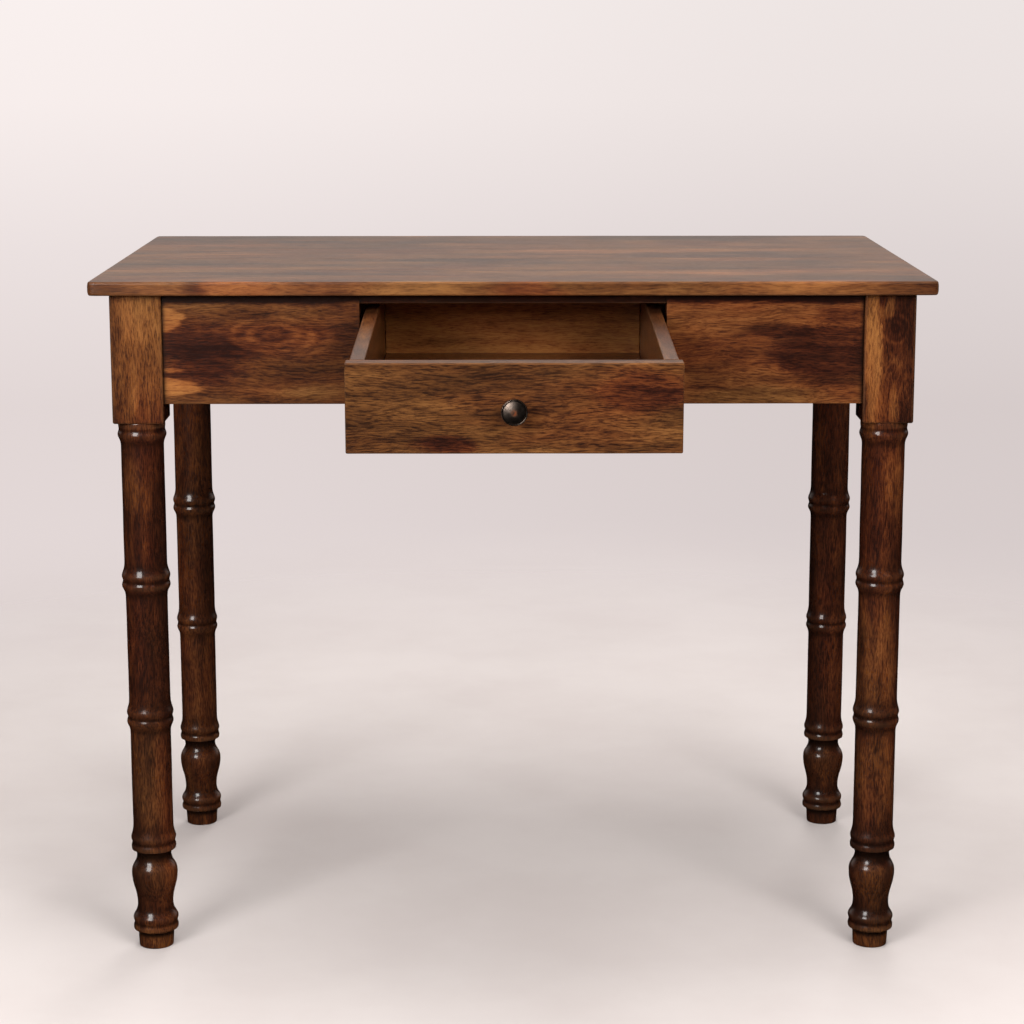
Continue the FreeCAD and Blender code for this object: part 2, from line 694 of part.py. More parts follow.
def make_drawer_front():
    """Make the drawer front with its knob hole, its bottom groove and the mortises for the sides."""
    front = new_body("drawer_front")
    middle_y = f"{DRAWER_FACE} + front_thickness / 2"
    add_block(front, "XY_Plane", ("0", middle_y, DRAWER_LOW), FRONT_WIDTH, "front_thickness", "drawer_height")
    face = number(DRAWER_FACE)
    round_edges(front, "front_round", lambda middle, along: same(middle.y, face))
    inner_plane = f"-{DRAWER_INSIDE_Y}"
    for side in (LEFT, RIGHT):
        side_x = f"{side} * ({BOX_HALF} - side_thickness / 2)"
        cut_block(front, "XZ_Plane", (side_x, DRAWER_MID_Z, inner_plane),
                  "tongue_thickness + 2 * joint_gap", f"{TONGUE_HEIGHT} + 2 * joint_gap",
                  "tongue_length + joint_end_gap")
    cut_block(front, "XZ_Plane", ("0", BOTTOM_MID_Z, inner_plane),
              f"2 * ({BOX_HALF} - side_thickness + bottom_groove)", "bottom_thickness + 2 * joint_gap",
              "bottom_groove")
    cut_hole(front, "XZ_Plane", ("0", DRAWER_MID_Z, inner_plane), "screw_radius + screw_hole_gap",
             "front_thickness")
    place_in_drawer(front)


def make_drawer_side(label, side):
    """Make a drawer side with the tongue at its front, its bottom groove and the back's mortise."""
    board = new_body(label)
    x = f"{side} * ({BOX_HALF} - side_thickness / 2)"
    length = "(drawer_length - front_thickness)"
    add_block(board, "XY_Plane", (x, f"{DRAWER_INSIDE_Y} + {length} / 2", DRAWER_LOW),
              "side_thickness", length, "drawer_height")
    rim = number(DRAWER_RIM)
    round_edges(board, "rim_round", lambda middle, along: same(middle.z, rim) and same(along.x, 0))
    add_block(board, "XZ_Plane", (x, DRAWER_MID_Z, f"-{DRAWER_INSIDE_Y}"),
              "tongue_thickness", TONGUE_HEIGHT, "tongue_length")
    inner_x = f"{side} * ({BOX_HALF} - side_thickness)"
    groove_length = f"({INSIDE_LENGTH} + bottom_groove)"
    cut_block(board, "YZ_Plane", (f"{DRAWER_INSIDE_Y} + {groove_length} / 2", BOTTOM_MID_Z, inner_x),
              groove_length, "bottom_thickness + 2 * joint_gap", "bottom_groove", back=side == LEFT)
    cut_block(board, "YZ_Plane", (f"{DRAWER_BACK_Y} + side_thickness / 2", DRAWER_MID_Z, inner_x),
              "tongue_thickness + 2 * joint_gap", f"{TONGUE_HEIGHT} + 2 * joint_gap",
              "tongue_length + joint_end_gap", back=side == LEFT)
    place_in_drawer(board)


def make_drawer_back():
    """Make the drawer back, tongued into the two sides."""
    board = new_body("drawer_back")
    width = f"(2 * ({BOX_HALF} - side_thickness))"
    middle_y = f"{DRAWER_BACK_Y} + side_thickness / 2"
    add_block(board, "XY_Plane", ("0", middle_y, DRAWER_LOW), width, "side_thickness", "drawer_height")
    rim = number(DRAWER_RIM)
    round_edges(board, "rim_round", lambda middle, along: same(middle.z, rim) and same(along.y, 0))
    for side in (LEFT, RIGHT):
        add_block(board, "YZ_Plane", (middle_y, DRAWER_MID_Z, f"{side} * {width} / 2"),
                  "tongue_thickness", TONGUE_HEIGHT, "tongue_length", back=side == LEFT)
    cut_block(board, "XZ_Plane", ("0", BOTTOM_MID_Z, f"-{DRAWER_BACK_Y}"), width,
              "bottom_thickness + 2 * joint_gap", "bottom_groove", back=True)
    place_in_drawer(board)


def make_drawer_bottom():
    """Make the thin bottom panel that lies in the grooves of the front, the sides and the back."""
    panel = new_body("drawer_bottom")
    margin = "(bottom_groove - joint_end_gap)"
    add_block(panel, "XY_Plane",
              ("0", f"{DRAWER_INSIDE_Y} + {INSIDE_LENGTH} / 2", f"{DRAWER_LOW} + bottom_lift"),
              f"2 * ({BOX_HALF} - side_thickness + {margin})", f"{INSIDE_LENGTH} + 2 * {margin}",
              "bottom_thickness")
    place_in_drawer(panel)


def make_knob():
    """Make the turned knob, domed inside a raised ring, and the screw that holds it from inside.

    Their outlines run along the sketch's right, which is the way into the drawer.
    """
    knob = new_body("drawer_knob")
    sketch = new_sketch(knob, "YZ_Plane", (DRAWER_FACE, DRAWER_MID_Z, "0"))
    back_of_head = "(knob_base_length + knob_neck_length)"
    rim = f"({back_of_head} + knob_rim)"
    dome_arc = "(knob_ring_radius ^ 2 + knob_dome ^ 2) / (2 * knob_dome)"
    bore = "(screw_radius + joint_gap)"
    bore_end = "(screw_bite + joint_end_gap)"
    outline(sketch, [
        (f"-{bore_end}", "0"),
        (f"-{bore_end}", bore),
        ("0", bore),
        ("0", "knob_base_radius"),
        ("-knob_base_length", "knob_base_radius"),
        (f"-{back_of_head}", "knob_neck_radius", "2 * knob_neck_length", LEFT),
        (f"-{back_of_head}", "knob_radius - knob_round"),
        (f"-{back_of_head} - knob_round", "knob_radius", "knob_round", RIGHT),
        (f"-{rim} + knob_round", "knob_radius"),
        (f"-{rim}", "knob_radius - knob_round", "knob_round", RIGHT),
        (f"-{rim}", "knob_ring_radius + knob_ring_depth"),
        (f"-{rim} + knob_ring_depth", "knob_ring_radius"),
        (f"-{rim} + knob_ring_depth - knob_dome", "0", dome_arc, RIGHT),
    ])
    turn(knob, sketch, "H_Axis")
    place_in_drawer(knob)

    screw = new_body("knob_screw")
    shank = new_sketch(screw, "YZ_Plane", (DRAWER_INSIDE_Y, DRAWER_MID_Z, "0"))
    tip = "(front_thickness + screw_bite)"
    outline(shank, [
        (f"-{tip}", "0"),
        (f"-{tip}", "screw_radius"),
        ("0", "screw_radius"),
        ("0", "screw_head_radius"),
        ("screw_head_height", "screw_head_radius - knob_round"),
        ("screw_head_height", "0"),
    ])
    turn(screw, shank, "H_Axis")
    place_in_drawer(screw)


def make_top_fixings():
    """Make the wooden buttons that hold the top down on the aprons, and their screws."""
    buttons, screws = [], []
    hole = "button_screw_radius + button_screw_fit"
    for index, (x, y, quarter_turns) in enumerate(fixing_spots()):
        button = new_body(f"button_{index}")
        add_block(button, "XY_Plane", ("0", "button_length / 2", "-button_height"),
                  "button_width", "button_length", "button_height")
        add_block(button, "XZ_Plane", ("0", "button_tongue_height / 2 - button_height", "0"),
                  "button_width", "button_tongue_height", "button_tongue_length")
        cut_hole(button, "XY_Plane", ("0", "button_length / 2", "0"), hole, "button_height", back=True)
        place(button, x, y, TOP_UNDER, quarter_turns)
        buttons.append(button)
        screw = new_body(f"button_screw_{index}")
        sketch = new_sketch(screw, "XZ_Plane", ("0", "-button_height", "-button_length / 2"))
        tip = "(button_height + button_screw_bite)"
        outline(sketch, [
            ("0", "-button_head_height"),
            ("button_head_radius", "-button_head_height"),
            ("button_head_radius", "0"),
            ("button_screw_radius", "0"),
            ("button_screw_radius", tip),
            ("0", tip),
        ])
        turn(screw, sketch, "V_Axis")
        place(screw, x, y, TOP_UNDER, quarter_turns)
        screws.append(screw)
    return {"top_buttons": buttons, "top_button_screws": screws}


def gather(groups):
    """Gather like fixings into one sub-part each, and give the bodies that are then inside a group."""
    inside = []
    for label, bodies in groups.items():
        group = doc.addObject("Part::Compound", label)
        group.Label = label
        group.Links = bodies
        inside += bodies
    return inside


def check_and_write(inside):
    """Make sure that every object is sound, then write each sub-part to its own file."""
    doc.recompute()
    for thing in doc.Objects:
        if {"Invalid", "Error"} & set(thing.State):
            raise RuntimeError(f"{thing.Label} did not rebuild: {thing.State}")
    subparts = [thing for thing in doc.Objects
                if thing.isDerivedFrom("PartDesign::Body") or thing.isDerivedFrom("Part::Compound")]
    for part in subparts:
        if part in inside:
            continue
        if part.Shape.isNull() or not part.Shape.isValid():
            raise RuntimeError(f"{part.Label} has no sound shape")
        part.Shape.exportStep(f"parts/{part.Label}.step")


make_top()
make_legs()
make_aprons()
make_corner_blocks()
make_rails()
make_runners()
make_drawer_front()
make_drawer_side("drawer_side_left", LEFT)
make_drawer_side("drawer_side_right", RIGHT)
make_drawer_back()
make_drawer_bottom()
make_knob()
check_and_write(gather(make_top_fixings()))
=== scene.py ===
"""Looks, light and camera of a writing desk with bamboo-style turned legs and one open drawer.

Every length is in metres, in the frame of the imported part: X to the right, the front faces -Y, Z up from
the floor.
"""
import json
import logging
import math
from dataclasses import dataclass, field
from enum import Enum

import bpy
import numpy as np
from mathutils import Matrix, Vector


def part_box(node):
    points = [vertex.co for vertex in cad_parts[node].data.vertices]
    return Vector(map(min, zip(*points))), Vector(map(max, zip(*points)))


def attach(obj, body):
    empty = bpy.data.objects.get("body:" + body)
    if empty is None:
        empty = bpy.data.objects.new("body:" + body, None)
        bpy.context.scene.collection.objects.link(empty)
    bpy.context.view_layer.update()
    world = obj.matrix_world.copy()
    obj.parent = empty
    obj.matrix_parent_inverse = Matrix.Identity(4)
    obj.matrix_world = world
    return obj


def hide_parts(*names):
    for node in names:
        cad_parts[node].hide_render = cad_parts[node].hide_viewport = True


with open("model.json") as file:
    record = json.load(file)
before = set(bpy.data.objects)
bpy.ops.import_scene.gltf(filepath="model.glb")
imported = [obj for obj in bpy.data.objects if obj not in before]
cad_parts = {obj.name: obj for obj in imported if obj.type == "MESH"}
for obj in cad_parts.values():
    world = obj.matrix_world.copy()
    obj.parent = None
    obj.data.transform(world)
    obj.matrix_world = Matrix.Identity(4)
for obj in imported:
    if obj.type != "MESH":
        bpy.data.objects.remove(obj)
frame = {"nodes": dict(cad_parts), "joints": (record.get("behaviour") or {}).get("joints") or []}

log = logging.getLogger("writing_desk")
MM = 0.001
TINY = 1e-9
Vec = tuple[float, float, float]
Socket = bpy.types.NodeSocket


class Way(Enum):
    """The axis that a board's length runs along, with the order that takes (along, across, up) to X, Y, Z."""

    X = (0, 1, 2)
    Y = (1, 0, 2)
    Z = (2, 0, 1)


class Body(Enum):
    """The body of the part that a piece rides on."""

    DESK = "desk"
    DRAWER = "drawer"


# Surfaces


def wander(seed: int, points: np.ndarray, waves: int = 5) -> np.ndarray:
    """Give a smooth random value from about -1 to 1 at each point.

    The value is a sum of sine waves in random directions, so it has no seams and needs no grid.

    Args:
        seed: Picks the waves.
        points: Points as rows, in units of about one wavelength.
        waves: How many waves are added.

    Returns:
        One value for each row.
    """
    draw = np.random.default_rng(seed)
    pace = 0.6
    turns = draw.normal(0.0, 1.0, (points.shape[1], waves)) * 2.0 * np.pi * pace
    starts = draw.uniform(0.0, 2.0 * np.pi, waves)
    return np.sin(points @ turns + starts).sum(1) / math.sqrt(waves * 2.0)


@dataclass
class Skin:
    """A closed surface of rings, each ring one row of points.

    Attributes:
        rings: Array of points, ring by ring, shaped (rings, points in a ring, 3).
        wear: How worn each point is, from 0 to 1, shaped (rings, points in a ring).
        grime_and_shade: How dark each point is drawn, shaped like wear: painted shade at held apron ends,
            darker hollows and grooves in the legs, patina in the knob's groove.
    """

    rings: np.ndarray
    wear: np.ndarray
    grime_and_shade: np.ndarray


def rounded_section(half: np.ndarray, radii: np.ndarray, inset: np.ndarray, flats: int,
                    arc: int) -> np.ndarray:
    """Give rounded rectangles, one for each inset.

    A corner is a quarter circle about a point that lies its radius inside both sides. Between corners a
    side has flats evenly spaced points and one point close to each end, which keeps its shading flat.

    Args:
        half: Half the width and half the height.
        radii: Corner radii, in the order (+,+), (-,+), (-,-), (+,-).
        inset: How far each rectangle lies inside the full one.
        flats: Points along each flat side.
        arc: Steps in each corner's quarter circle.

    Returns:
        Points shaped (insets, points, 2), in the order that section_wear follows.
    """
    least_room, least_bend, beside_corner = 0.001 * MM, 0.02 * MM, 0.35 * MM
    signs = np.array([(1, 1), (-1, 1), (-1, -1), (1, -1)], float)
    angles = np.linspace(0.0, np.pi / 2, arc + 1)[None, :] + np.arange(4)[:, None] * np.pi / 2
    room = np.maximum(half[None, :] - inset[:, None], least_room)
    bend = np.maximum(radii[None, :] - inset[:, None], least_bend)
    bend = np.minimum(bend, 0.999 * room.min(1)[:, None])
    centre = signs[None] * (room[:, None, :] - bend[:, :, None])
    ring = np.stack([np.cos(angles), np.sin(angles)], -1)
    corners = centre[:, :, None, :] + bend[:, :, None, None] * ring[None]
    nexts = np.roll(corners, -1, axis=1)[:, :, :1]
    ends = corners[:, :, -1:]
    length = np.linalg.norm(nexts - ends, axis=-1, keepdims=True)
    support = np.minimum(beside_corner / np.maximum(length, TINY), 0.2)
    between = np.linspace(0, 1, flats + 2)[1:-1, None]
    share = np.concatenate([support, support + (1 - 2 * support) * between, 1 - support], axis=2)
    flat = ends + (nexts - ends) * share
    return np.concatenate([corners, flat], axis=2).reshape(len(inset), -1, 2)


def bell(at: np.ndarray, middle: float, width: float) -> np.ndarray:
    """Give a bell curve of height 1 about its middle, which falls to 1 / e at its width."""
    return np.exp(-(((at - middle) / width) ** 2))


def section_wear(arc: int, flats: int) -> np.ndarray:
    """Tell how far each point of a rounded section lies on a corner, from 0 on a flat to 1 on a corner."""
    corner = np.sin(np.linspace(0.0, np.pi, arc + 1)) * 0.5 + 0.5
    return np.tile(np.concatenate([corner, np.zeros(flats + 2)]), 4)


@dataclass
class Board:
    """A sawn board with rounded, lightly worn edges.

    The surface is a rounded rectangle carried along the board. Near each end the rectangle draws in along
    a quarter circle and then closes to a point in the middle of the end face. The faces wave by a few
    hundredths of a millimetre, as planed and sanded wood does, and the edges are worn more in some places.

    Attributes:
        low: Lowest corner.
        high: Highest corner.
        way: Axis of the board's length, which is also the way of the grain.
        edges: Radii of the four long edges, by across and up: (+,+), (-,+), (-,-), (+,-).
        end: Radius of the edges round the two ends.
        seed: Picks the wear and the waves.
        wave: Height of the waves in its faces.
        stations: Rings along its length.
        flats: Points along each flat side of a ring.
        arc: Steps in the quarter circle of an edge.
        plan: Radii of the corners seen from above, at its front and its back long side.
        wave_lengths: Length of the waves along, across and up.
        wear_length: Length of the more and less worn stretches of its edges.
    """

    low: np.ndarray
    high: np.ndarray
    way: Way
    edges: tuple[float, float, float, float]
    end: float
    seed: int
    wave: float = 0.06 * MM
    stations: int = 90
    flats: int = 9
    arc: int = 5
    plan: tuple[float, float] = (0.0, 0.0)
    wave_lengths: Vec = (0.11, 0.07, 0.07)
    wear_length: float = 0.03

    def skin(self) -> Skin:
        """Work out the board's surface.

        Returns:
            The surface, in the part's frame.
        """
        cap_rings, cap_ease, cap_clear = 6, 0.8, 0.4 * MM
        least_worn, more_worn = 0.35, 0.9
        order = list(self.way.value)
        low, high = np.asarray(self.low)[order], np.asarray(self.high)[order]
        half, middle = (high - low) / 2, (high + low) / 2
        quarter = np.linspace(0.0, np.pi / 2, self.arc + 1)
        draw_in = self.end * (1 - np.sin(quarter))
        along_end = half[0] - self.end * (1 - np.cos(quarter))
        cap = np.linspace(0.0, 1.0, cap_rings + 1)[1:] ** cap_ease
        closing = self.end + (half[1:].min() - self.end) * cap
        inner = np.linspace(-1, 1, self.stations) * (half[0] - self.end - cap_clear)
        tip = np.full(cap_rings, half[0])
        along = np.concatenate([-tip, -along_end, inner, along_end[::-1], tip])
        inset = np.concatenate([closing[::-1], draw_in, np.zeros(len(inner)), draw_in[::-1], closing])
        section = rounded_section(half[1:], np.array(self.edges), inset, self.flats, self.arc)
        lengthwise = np.broadcast_to(along[:, None, None], section.shape[:2] + (1,))
        points = np.concatenate([lengthwise, section], -1)
        flat_points = points.reshape(-1, 3)
        swell = wander(self.seed, flat_points / np.array(self.wave_lengths)).reshape(points.shape[:2])
        scale = 1 - self.wave * np.maximum(1 + swell[..., None], 0) / half[None, None, :]
        points = points * np.where(np.arange(3) == 0, 1.0, scale)
        points[..., :2] -= self.drawn_in(points, half)
        edge = np.broadcast_to(section_wear(self.arc, self.flats)[None], points.shape[:2]).copy()
        rounding = np.clip(inset / max(self.end, TINY), 0, 1)
        outside = (inset <= self.end * 1.001)[:, None]
        edge = np.maximum(edge * outside, np.sin(np.pi * rounding)[:, None] * outside)
        patchy = 0.5 + 0.5 * wander(self.seed + 1, flat_points / self.wear_length).reshape(edge.shape)
        wear = np.clip(edge * (least_worn + more_worn * patchy), 0, 1)
        back = np.argsort(order)
        world = (points + middle[None, None, :])[..., back]
        if np.linalg.det(np.eye(3)[order]) < 0:
            world, wear = world[:, ::-1], wear[:, ::-1]
        return Skin(world, wear, np.zeros_like(wear))

    def drawn_in(self, points: np.ndarray, half: np.ndarray) -> np.ndarray:
        """Give the shifts that round the corners seen from above.

        The square at each corner becomes a quarter disc: each point is drawn towards the disc's centre until
        its distance from there is the larger of its two distances along the board and across it.

        Args:
            points: Points of the board about its middle.
            half: Half its length, width and thickness.

        Returns:
            Shifts along the board and across it.
        """
        side = np.sign(points[..., :2])
        reach = np.where(side[..., 1] < 0, *self.plan)[..., None]
        pull = np.clip(reach - (half[:2] - np.abs(points[..., :2])), 0.0, None)
        length = np.maximum(np.hypot(pull[..., 0], pull[..., 1]), TINY)
        return side * pull * (1 - pull.max(-1) / length)[..., None] * (pull.min(-1) > 0)[..., None]


@dataclass
class Turning:
    """A piece turned on a lathe about an axis.

    The surface is a profile of radius against place along the axis, carried round the axis. The radius
    varies a little along and round the piece, as hand turning leaves it.

    Attributes:
        base: Where the axis starts.
        axis: Direction of the axis.
        place: Places along the axis, from one end to the other.
        radius: Radius at each place. The first and the last one are 0, which closes the ends.
        seed: Picks the unevenness.
        uneven: Height of the unevenness.
        around: Points in each ring.
        bump_length: Length of the unevenness along the axis.
        bump_share: How fast the unevenness changes round the axis.
        lip_reach: Reach of the mean radius over which a lip stands proud.
        groove_reach: Reach of the mean radius under which a groove lies.
    """

    base: np.ndarray
    axis: np.ndarray
    place: np.ndarray
    radius: np.ndarray
    seed: int
    uneven: float = 0.0
    around: int = 80
    bump_length: float = 0.05
    bump_share: float = 0.4
    lip_reach: float = 8 * MM
    groove_reach: float = 3 * MM

    def skin(self) -> Skin:
        """Work out the turned surface, worn at its lips and dark in its grooves.

        Returns:
            The surface, in the frame of base and axis.
        """
        # Wear of a lip, and darkening in a hollow or a groove, for each millimetre of height or depth.
        lip_wear, hollow_darkening, groove_darkening = 0.55, 0.9, 2.2
        steady, patchy = 0.55, 0.45
        axis = np.asarray(self.axis, float)
        side = np.cross(axis, [1.0, 0.0, 0.0] if abs(axis[0]) < 0.5 else [0.0, 1.0, 0.0])
        side /= np.linalg.norm(side)
        other = np.cross(axis, side)
        angle = np.linspace(0, 2 * np.pi, self.around, endpoint=False)
        circle = np.cos(angle)[:, None] * side + np.sin(angle)[:, None] * other
        spots = np.stack(np.broadcast_arrays(self.place[:, None] / self.bump_length,
                                             np.cos(angle)[None] * self.bump_share,
                                             np.sin(angle)[None] * self.bump_share), -1)
        bumps = wander(self.seed, spots.reshape(-1, 3)).reshape(spots.shape[:2])
        open_ring = (self.radius > self.uneven)[:, None]
        radius = self.radius[:, None] - self.uneven * (0.5 + 0.5 * bumps) * open_ring
        rings = np.asarray(self.base) + self.place[:, None, None] * axis + radius[..., None] * circle[None]
        proud = (self.radius - self.smoothed(self.lip_reach)) / MM
        groove = (self.smoothed(self.groove_reach) - self.radius) / MM
        wear = np.clip(proud * lip_wear, 0, 1)[:, None] * (steady + patchy * bumps)
        held = np.clip(np.maximum(-proud * hollow_darkening, groove * groove_darkening), 0, 1)[:, None]
        return Skin(rings, np.clip(wear, 0, 1), held * np.ones_like(bumps))

    def smoothed(self, reach: float) -> np.ndarray:
        """Give the profile's mean radius over a reach to each side, for finding lips and grooves.

        Args:
            reach: Distance along the axis, to each side.

        Returns:
            The mean radius at each place.
        """
        samples = 2000
        order = np.argsort(self.place, kind="stable")
        fine = np.linspace(self.place.min(), self.place.max(), samples)
        values = np.interp(fine, self.place[order], self.radius[order])
        steps = max(int(reach / (fine[1] - fine[0])), 1)
        padded = np.pad(values, steps, mode="edge")
        mean = np.convolve(padded, np.ones(2 * steps + 1) / (2 * steps + 1), mode="valid")
        return np.interp(self.place, fine, mean)


def linked(name: str, data: bpy.types.ID) -> bpy.types.Object:
    """Put a mesh, a lamp or a camera into the scene.

    Args:
        name: Name of the object.
        data: What it holds.

    Returns:
        The object.
    """
    thing = bpy.data.objects.new(name, data)
    bpy.context.scene.collection.objects.link(thing)
    return thing


def skin_mesh(name: str, skins: list[Skin]) -> bpy.types.Object:
    """Turn closed surfaces into one mesh object at the origin, with its wear and its darkening, painted shade
    included, as attributes.

    The first and last ring of each surface shrink to one point, so neighbouring rings join by quads and
    each end by a fan of triangles.

    Args:
        name: Name of the object.
        skins: Surfaces that make up the piece.

    Returns:
        The object, shaded smooth.
    """
    vertices, faces, wear, grime_and_shade = [], [], [], []
    start = 0
    for skin in skins:
        count, around = skin.rings.shape[:2]
        body = skin.rings[1:-1].reshape(-1, 3)
        poles = np.stack([skin.rings[0].mean(0), skin.rings[-1].mean(0)])
        here = np.arange((count - 2) * around).reshape(count - 2, around) + start
        after = np.roll(here, -1, axis=1)
        quads = np.stack([here[:-1], after[:-1], after[1:], here[1:]], -1).reshape(-1, 4)
        first, last = start + len(body), start + len(body) + 1
        fan_low = np.stack([np.full(around, first), after[0], here[0]], -1)
        fan_high = np.stack([np.full(around, last), here[-1], after[-1]], -1)
        faces += quads.tolist() + fan_low.tolist() + fan_high.tolist()
        vertices += [body, poles]
        for store, values in ((wear, skin.wear), (grime_and_shade, skin.grime_and_shade)):
            store += [values[1:-1].reshape(-1), values[[0, -1]].mean(1)]
        start += len(body) + 2
    mesh = bpy.data.meshes.new(name)
    mesh.from_pydata(np.concatenate(vertices).tolist(), [], faces)
    for label, store in (("wear", wear), ("grime_and_shade", grime_and_shade)):
        layer = mesh.attributes.new(label, "FLOAT", "POINT")
        layer.data.foreach_set("value", np.concatenate(store).astype(np.float32))
    mesh.validate()
    mesh.shade_smooth()
    return linked(name, mesh)


# Finishes


class Graph:
    """A material's node tree, with short ways to add and join nodes."""

    def __init__(self, name: str, tree: bpy.types.NodeTree | None = None,
                 shader: str = "ShaderNodeBsdfPrincipled",
                 output: str = "ShaderNodeOutputMaterial") -> None:
        """Start an empty material, or empty the given tree, with one surface shader.

        Args:
            name: Name of the material.
            tree: Node tree of the world, where it isn't a material's.
            shader: Kind of the shader node.
            output: Kind of the output node.
        """
        if tree is None:
            self.material = bpy.data.materials.new(name)
            self.material.use_nodes = True
            tree = self.material.node_tree
        self.tree = tree
        self.tree.nodes.clear()
        self.output = self.tree.nodes.new(output)
        self.shader = self.tree.nodes.new(shader)
        self.tree.links.new(self.shader.outputs[0], self.output.inputs["Surface"])

    def join(self, value: object, socket: Socket) -> None:
        """Link a socket to a node's output, or set it to a plain value.

        Args:
            value: The output or the value.
            socket: The input that takes it.
        """
        if isinstance(value, Socket):
            self.tree.links.new(value, socket)
        else:
            socket.default_value = value

    def set(self, **values: object) -> None:
        """Give the surface shader its inputs, named in lower case with underscores."""
        for key, value in values.items():
            self.join(value, self.shader.inputs[key.replace("_", " ").title().replace("Ior", "IOR")])

    def node(self, kind: str, inputs: dict, **options: object) -> bpy.types.Node:
        """Add a node, set its options and join its inputs.

        Args:
            kind: Kind of the node.
            inputs: Outputs or values, by the input's name or number.
            options: The node's own settings.

        Returns:
            The node.
        """
        node = self.tree.nodes.new(kind)
        for key, value in options.items():
            setattr(node, key, value)
        for key, value in inputs.items():
            self.join(value, node.inputs[key])
        return node

    def math(self, operation: str, a: object, b: object = 0.0, c: object = 0.0,
             clamp: bool = False) -> Socket:
        """Do sums on numbers."""
        inputs = {0: a, 1: b, 2: c}
        return self.node("ShaderNodeMath", inputs, operation=operation, use_clamp=clamp).outputs[0]

    def vector(self, operation: str, a: object, b: object = (0.0, 0.0, 0.0), out: int = 0) -> Socket:
        """Do sums on vectors."""
        return self.node("ShaderNodeVectorMath", {0: a, 1: b}, operation=operation).outputs[out]

    def scaled(self, a: object, size: Vec) -> Socket:
        """Stretch a vector along each axis."""
        return self.vector("MULTIPLY", a, size)

    def noise(self, at: object, scale: float, detail: float, rough: float, out: str = "Fac") -> Socket:
        """Add smooth random values."""
        inputs = {"Vector": at, "Scale": scale, "Detail": detail, "Roughness": rough}
        return self.node("ShaderNodeTexNoise", inputs).outputs[out]

    def remap(self, value: object, low: float, high: float, to_low: float = 0.0, to_high: float = 1.0,
              line: bool = False) -> Socket:
        """Take a range of numbers to another, held at its ends.

        Args:
            value: The number.
            low: Where the range starts.
            high: Where it ends.
            to_low: What its start becomes.
            to_high: What its end becomes.
            line: Whether it runs in a line, and not with a smooth start and stop.

        Returns:
            The new number.
        """
        inputs = {"Value": value, "From Min": low, "From Max": high, "To Min": to_low, "To Max": to_high}
        kind = "LINEAR" if line else "SMOOTHSTEP"
        return self.node("ShaderNodeMapRange", inputs, interpolation_type=kind).outputs[0]

    def mix(self, share: object, a: object, b: object) -> Socket:
        """Mix two colours, whose sockets are the seventh and eighth of the node's inputs."""
        return self.node("ShaderNodeMix", {0: share, 6: a, 7: b}, data_type="RGBA").outputs[2]

    def ramp(self, value: object, stops: tuple[tuple[float, Vec], ...]) -> Socket:
        """Read a number off a row of colours.

        Args:
            value: The number.
            stops: Places from 0 to 1 and their colours.

        Returns:
            The colour.
        """
        node = self.node("ShaderNodeValToRGB", {0: value})
        row = node.color_ramp.elements
        while len(row) < len(stops):
            row.new(0.5)
        for element, (place, colour) in zip(row, stops):
            element.position = place
            element.color = (*colour, 1.0)
        return node.outputs[0]

    def attribute(self, name: str) -> Socket:
        """Read one of the mesh's own values."""
        return self.node("ShaderNodeAttribute", {}, attribute_name=name).outputs["Fac"]

    def place(self, kind: str = "Object") -> Socket:
        """Read where a point lies, in the object's own coordinates or another kind."""
        return self.node("ShaderNodeTexCoord", {}).outputs[kind]

    def bump(self, height: Socket, strength: float, depth: float) -> Socket:
        """Turn heights into bent normals."""
        inputs = {"Strength": strength, "Distance": depth, "Height": height}
        return self.node("ShaderNodeBump", inputs).outputs[0]

    def near(self, at: Socket, centre: Vec, reach: Vec) -> Socket:
        """Tell how near a place is to a spot, from 1 at its centre to 0 at its reach and beyond."""
        shrunk = self.scaled(self.vector("SUBTRACT", at, centre), tuple(1.0 / r for r in reach))
        return self.math("SUBTRACT", 1.0, self.vector("LENGTH", shrunk, out=1), clamp=True)

    def figure(self, at: Socket, along: float, across: float, detail: float, rough: float) -> Socket:
        """Give random values drawn out along X, by their waves to the metre along and across it."""
        return self.noise(self.scaled(at, (along, across, across)), 1.0, detail, rough)

    def sway(self, at: Socket, scale: Vec, height: Vec) -> Socket:
        """Give random shifts about zero, of the given height along each axis."""
        colours = self.noise(self.scaled(at, scale), 1.0, 3.0, 0.55, "Color")
        return self.scaled(self.vector("SUBTRACT", colours, (0.5, 0.5, 0.5)), height)

    def about(self, value: Socket, height: float, base: object) -> Socket:
        """Add a random value, taken about its mean of one half, to a base."""
        return self.math("MULTIPLY_ADD", self.math("SUBTRACT", value, 0.5), height, base)


# Turns that bring the grain on to X.
GRAIN_TURN = {Way.X: (0.0, 0.0, 0.0), Way.Y: (0.0, 0.0, -math.pi / 2), Way.Z: (0.0, math.pi / 2, 0.0)}
# Olive and red browns of the wood, from heartwood to sapwood.
BROWNS = ((0.0, (0.0200, 0.0082, 0.0046)), (0.25, (0.0560, 0.0205, 0.0078)), (0.50, (0.1380, 0.0530, 0.0158)),
          (0.75, (0.2700, 0.1150, 0.0340)), (1.0, (0.4000, 0.1750, 0.0480)))
REDS = ((0.0, (0.0200, 0.0058, 0.0038)), (0.25, (0.0620, 0.0150, 0.0066)), (0.50, (0.1580, 0.0430, 0.0125)),
        (0.75, (0.3000, 0.0970, 0.0260)), (1.0, (0.4200, 0.1560, 0.0420)))
# Near-black brown laid where a mesh marks painted shade at the held ends of aprons, or darker hollows and
# grooves in the legs.
GROOVE_AND_SHADE_BROWN = (0.008, 0.0035, 0.0020, 1.0)
RUBBED_WOOD = (0.34, 0.165, 0.070, 1.0)
METAL_GRIME = (0.01, 0.007, 0.006, 1.0)
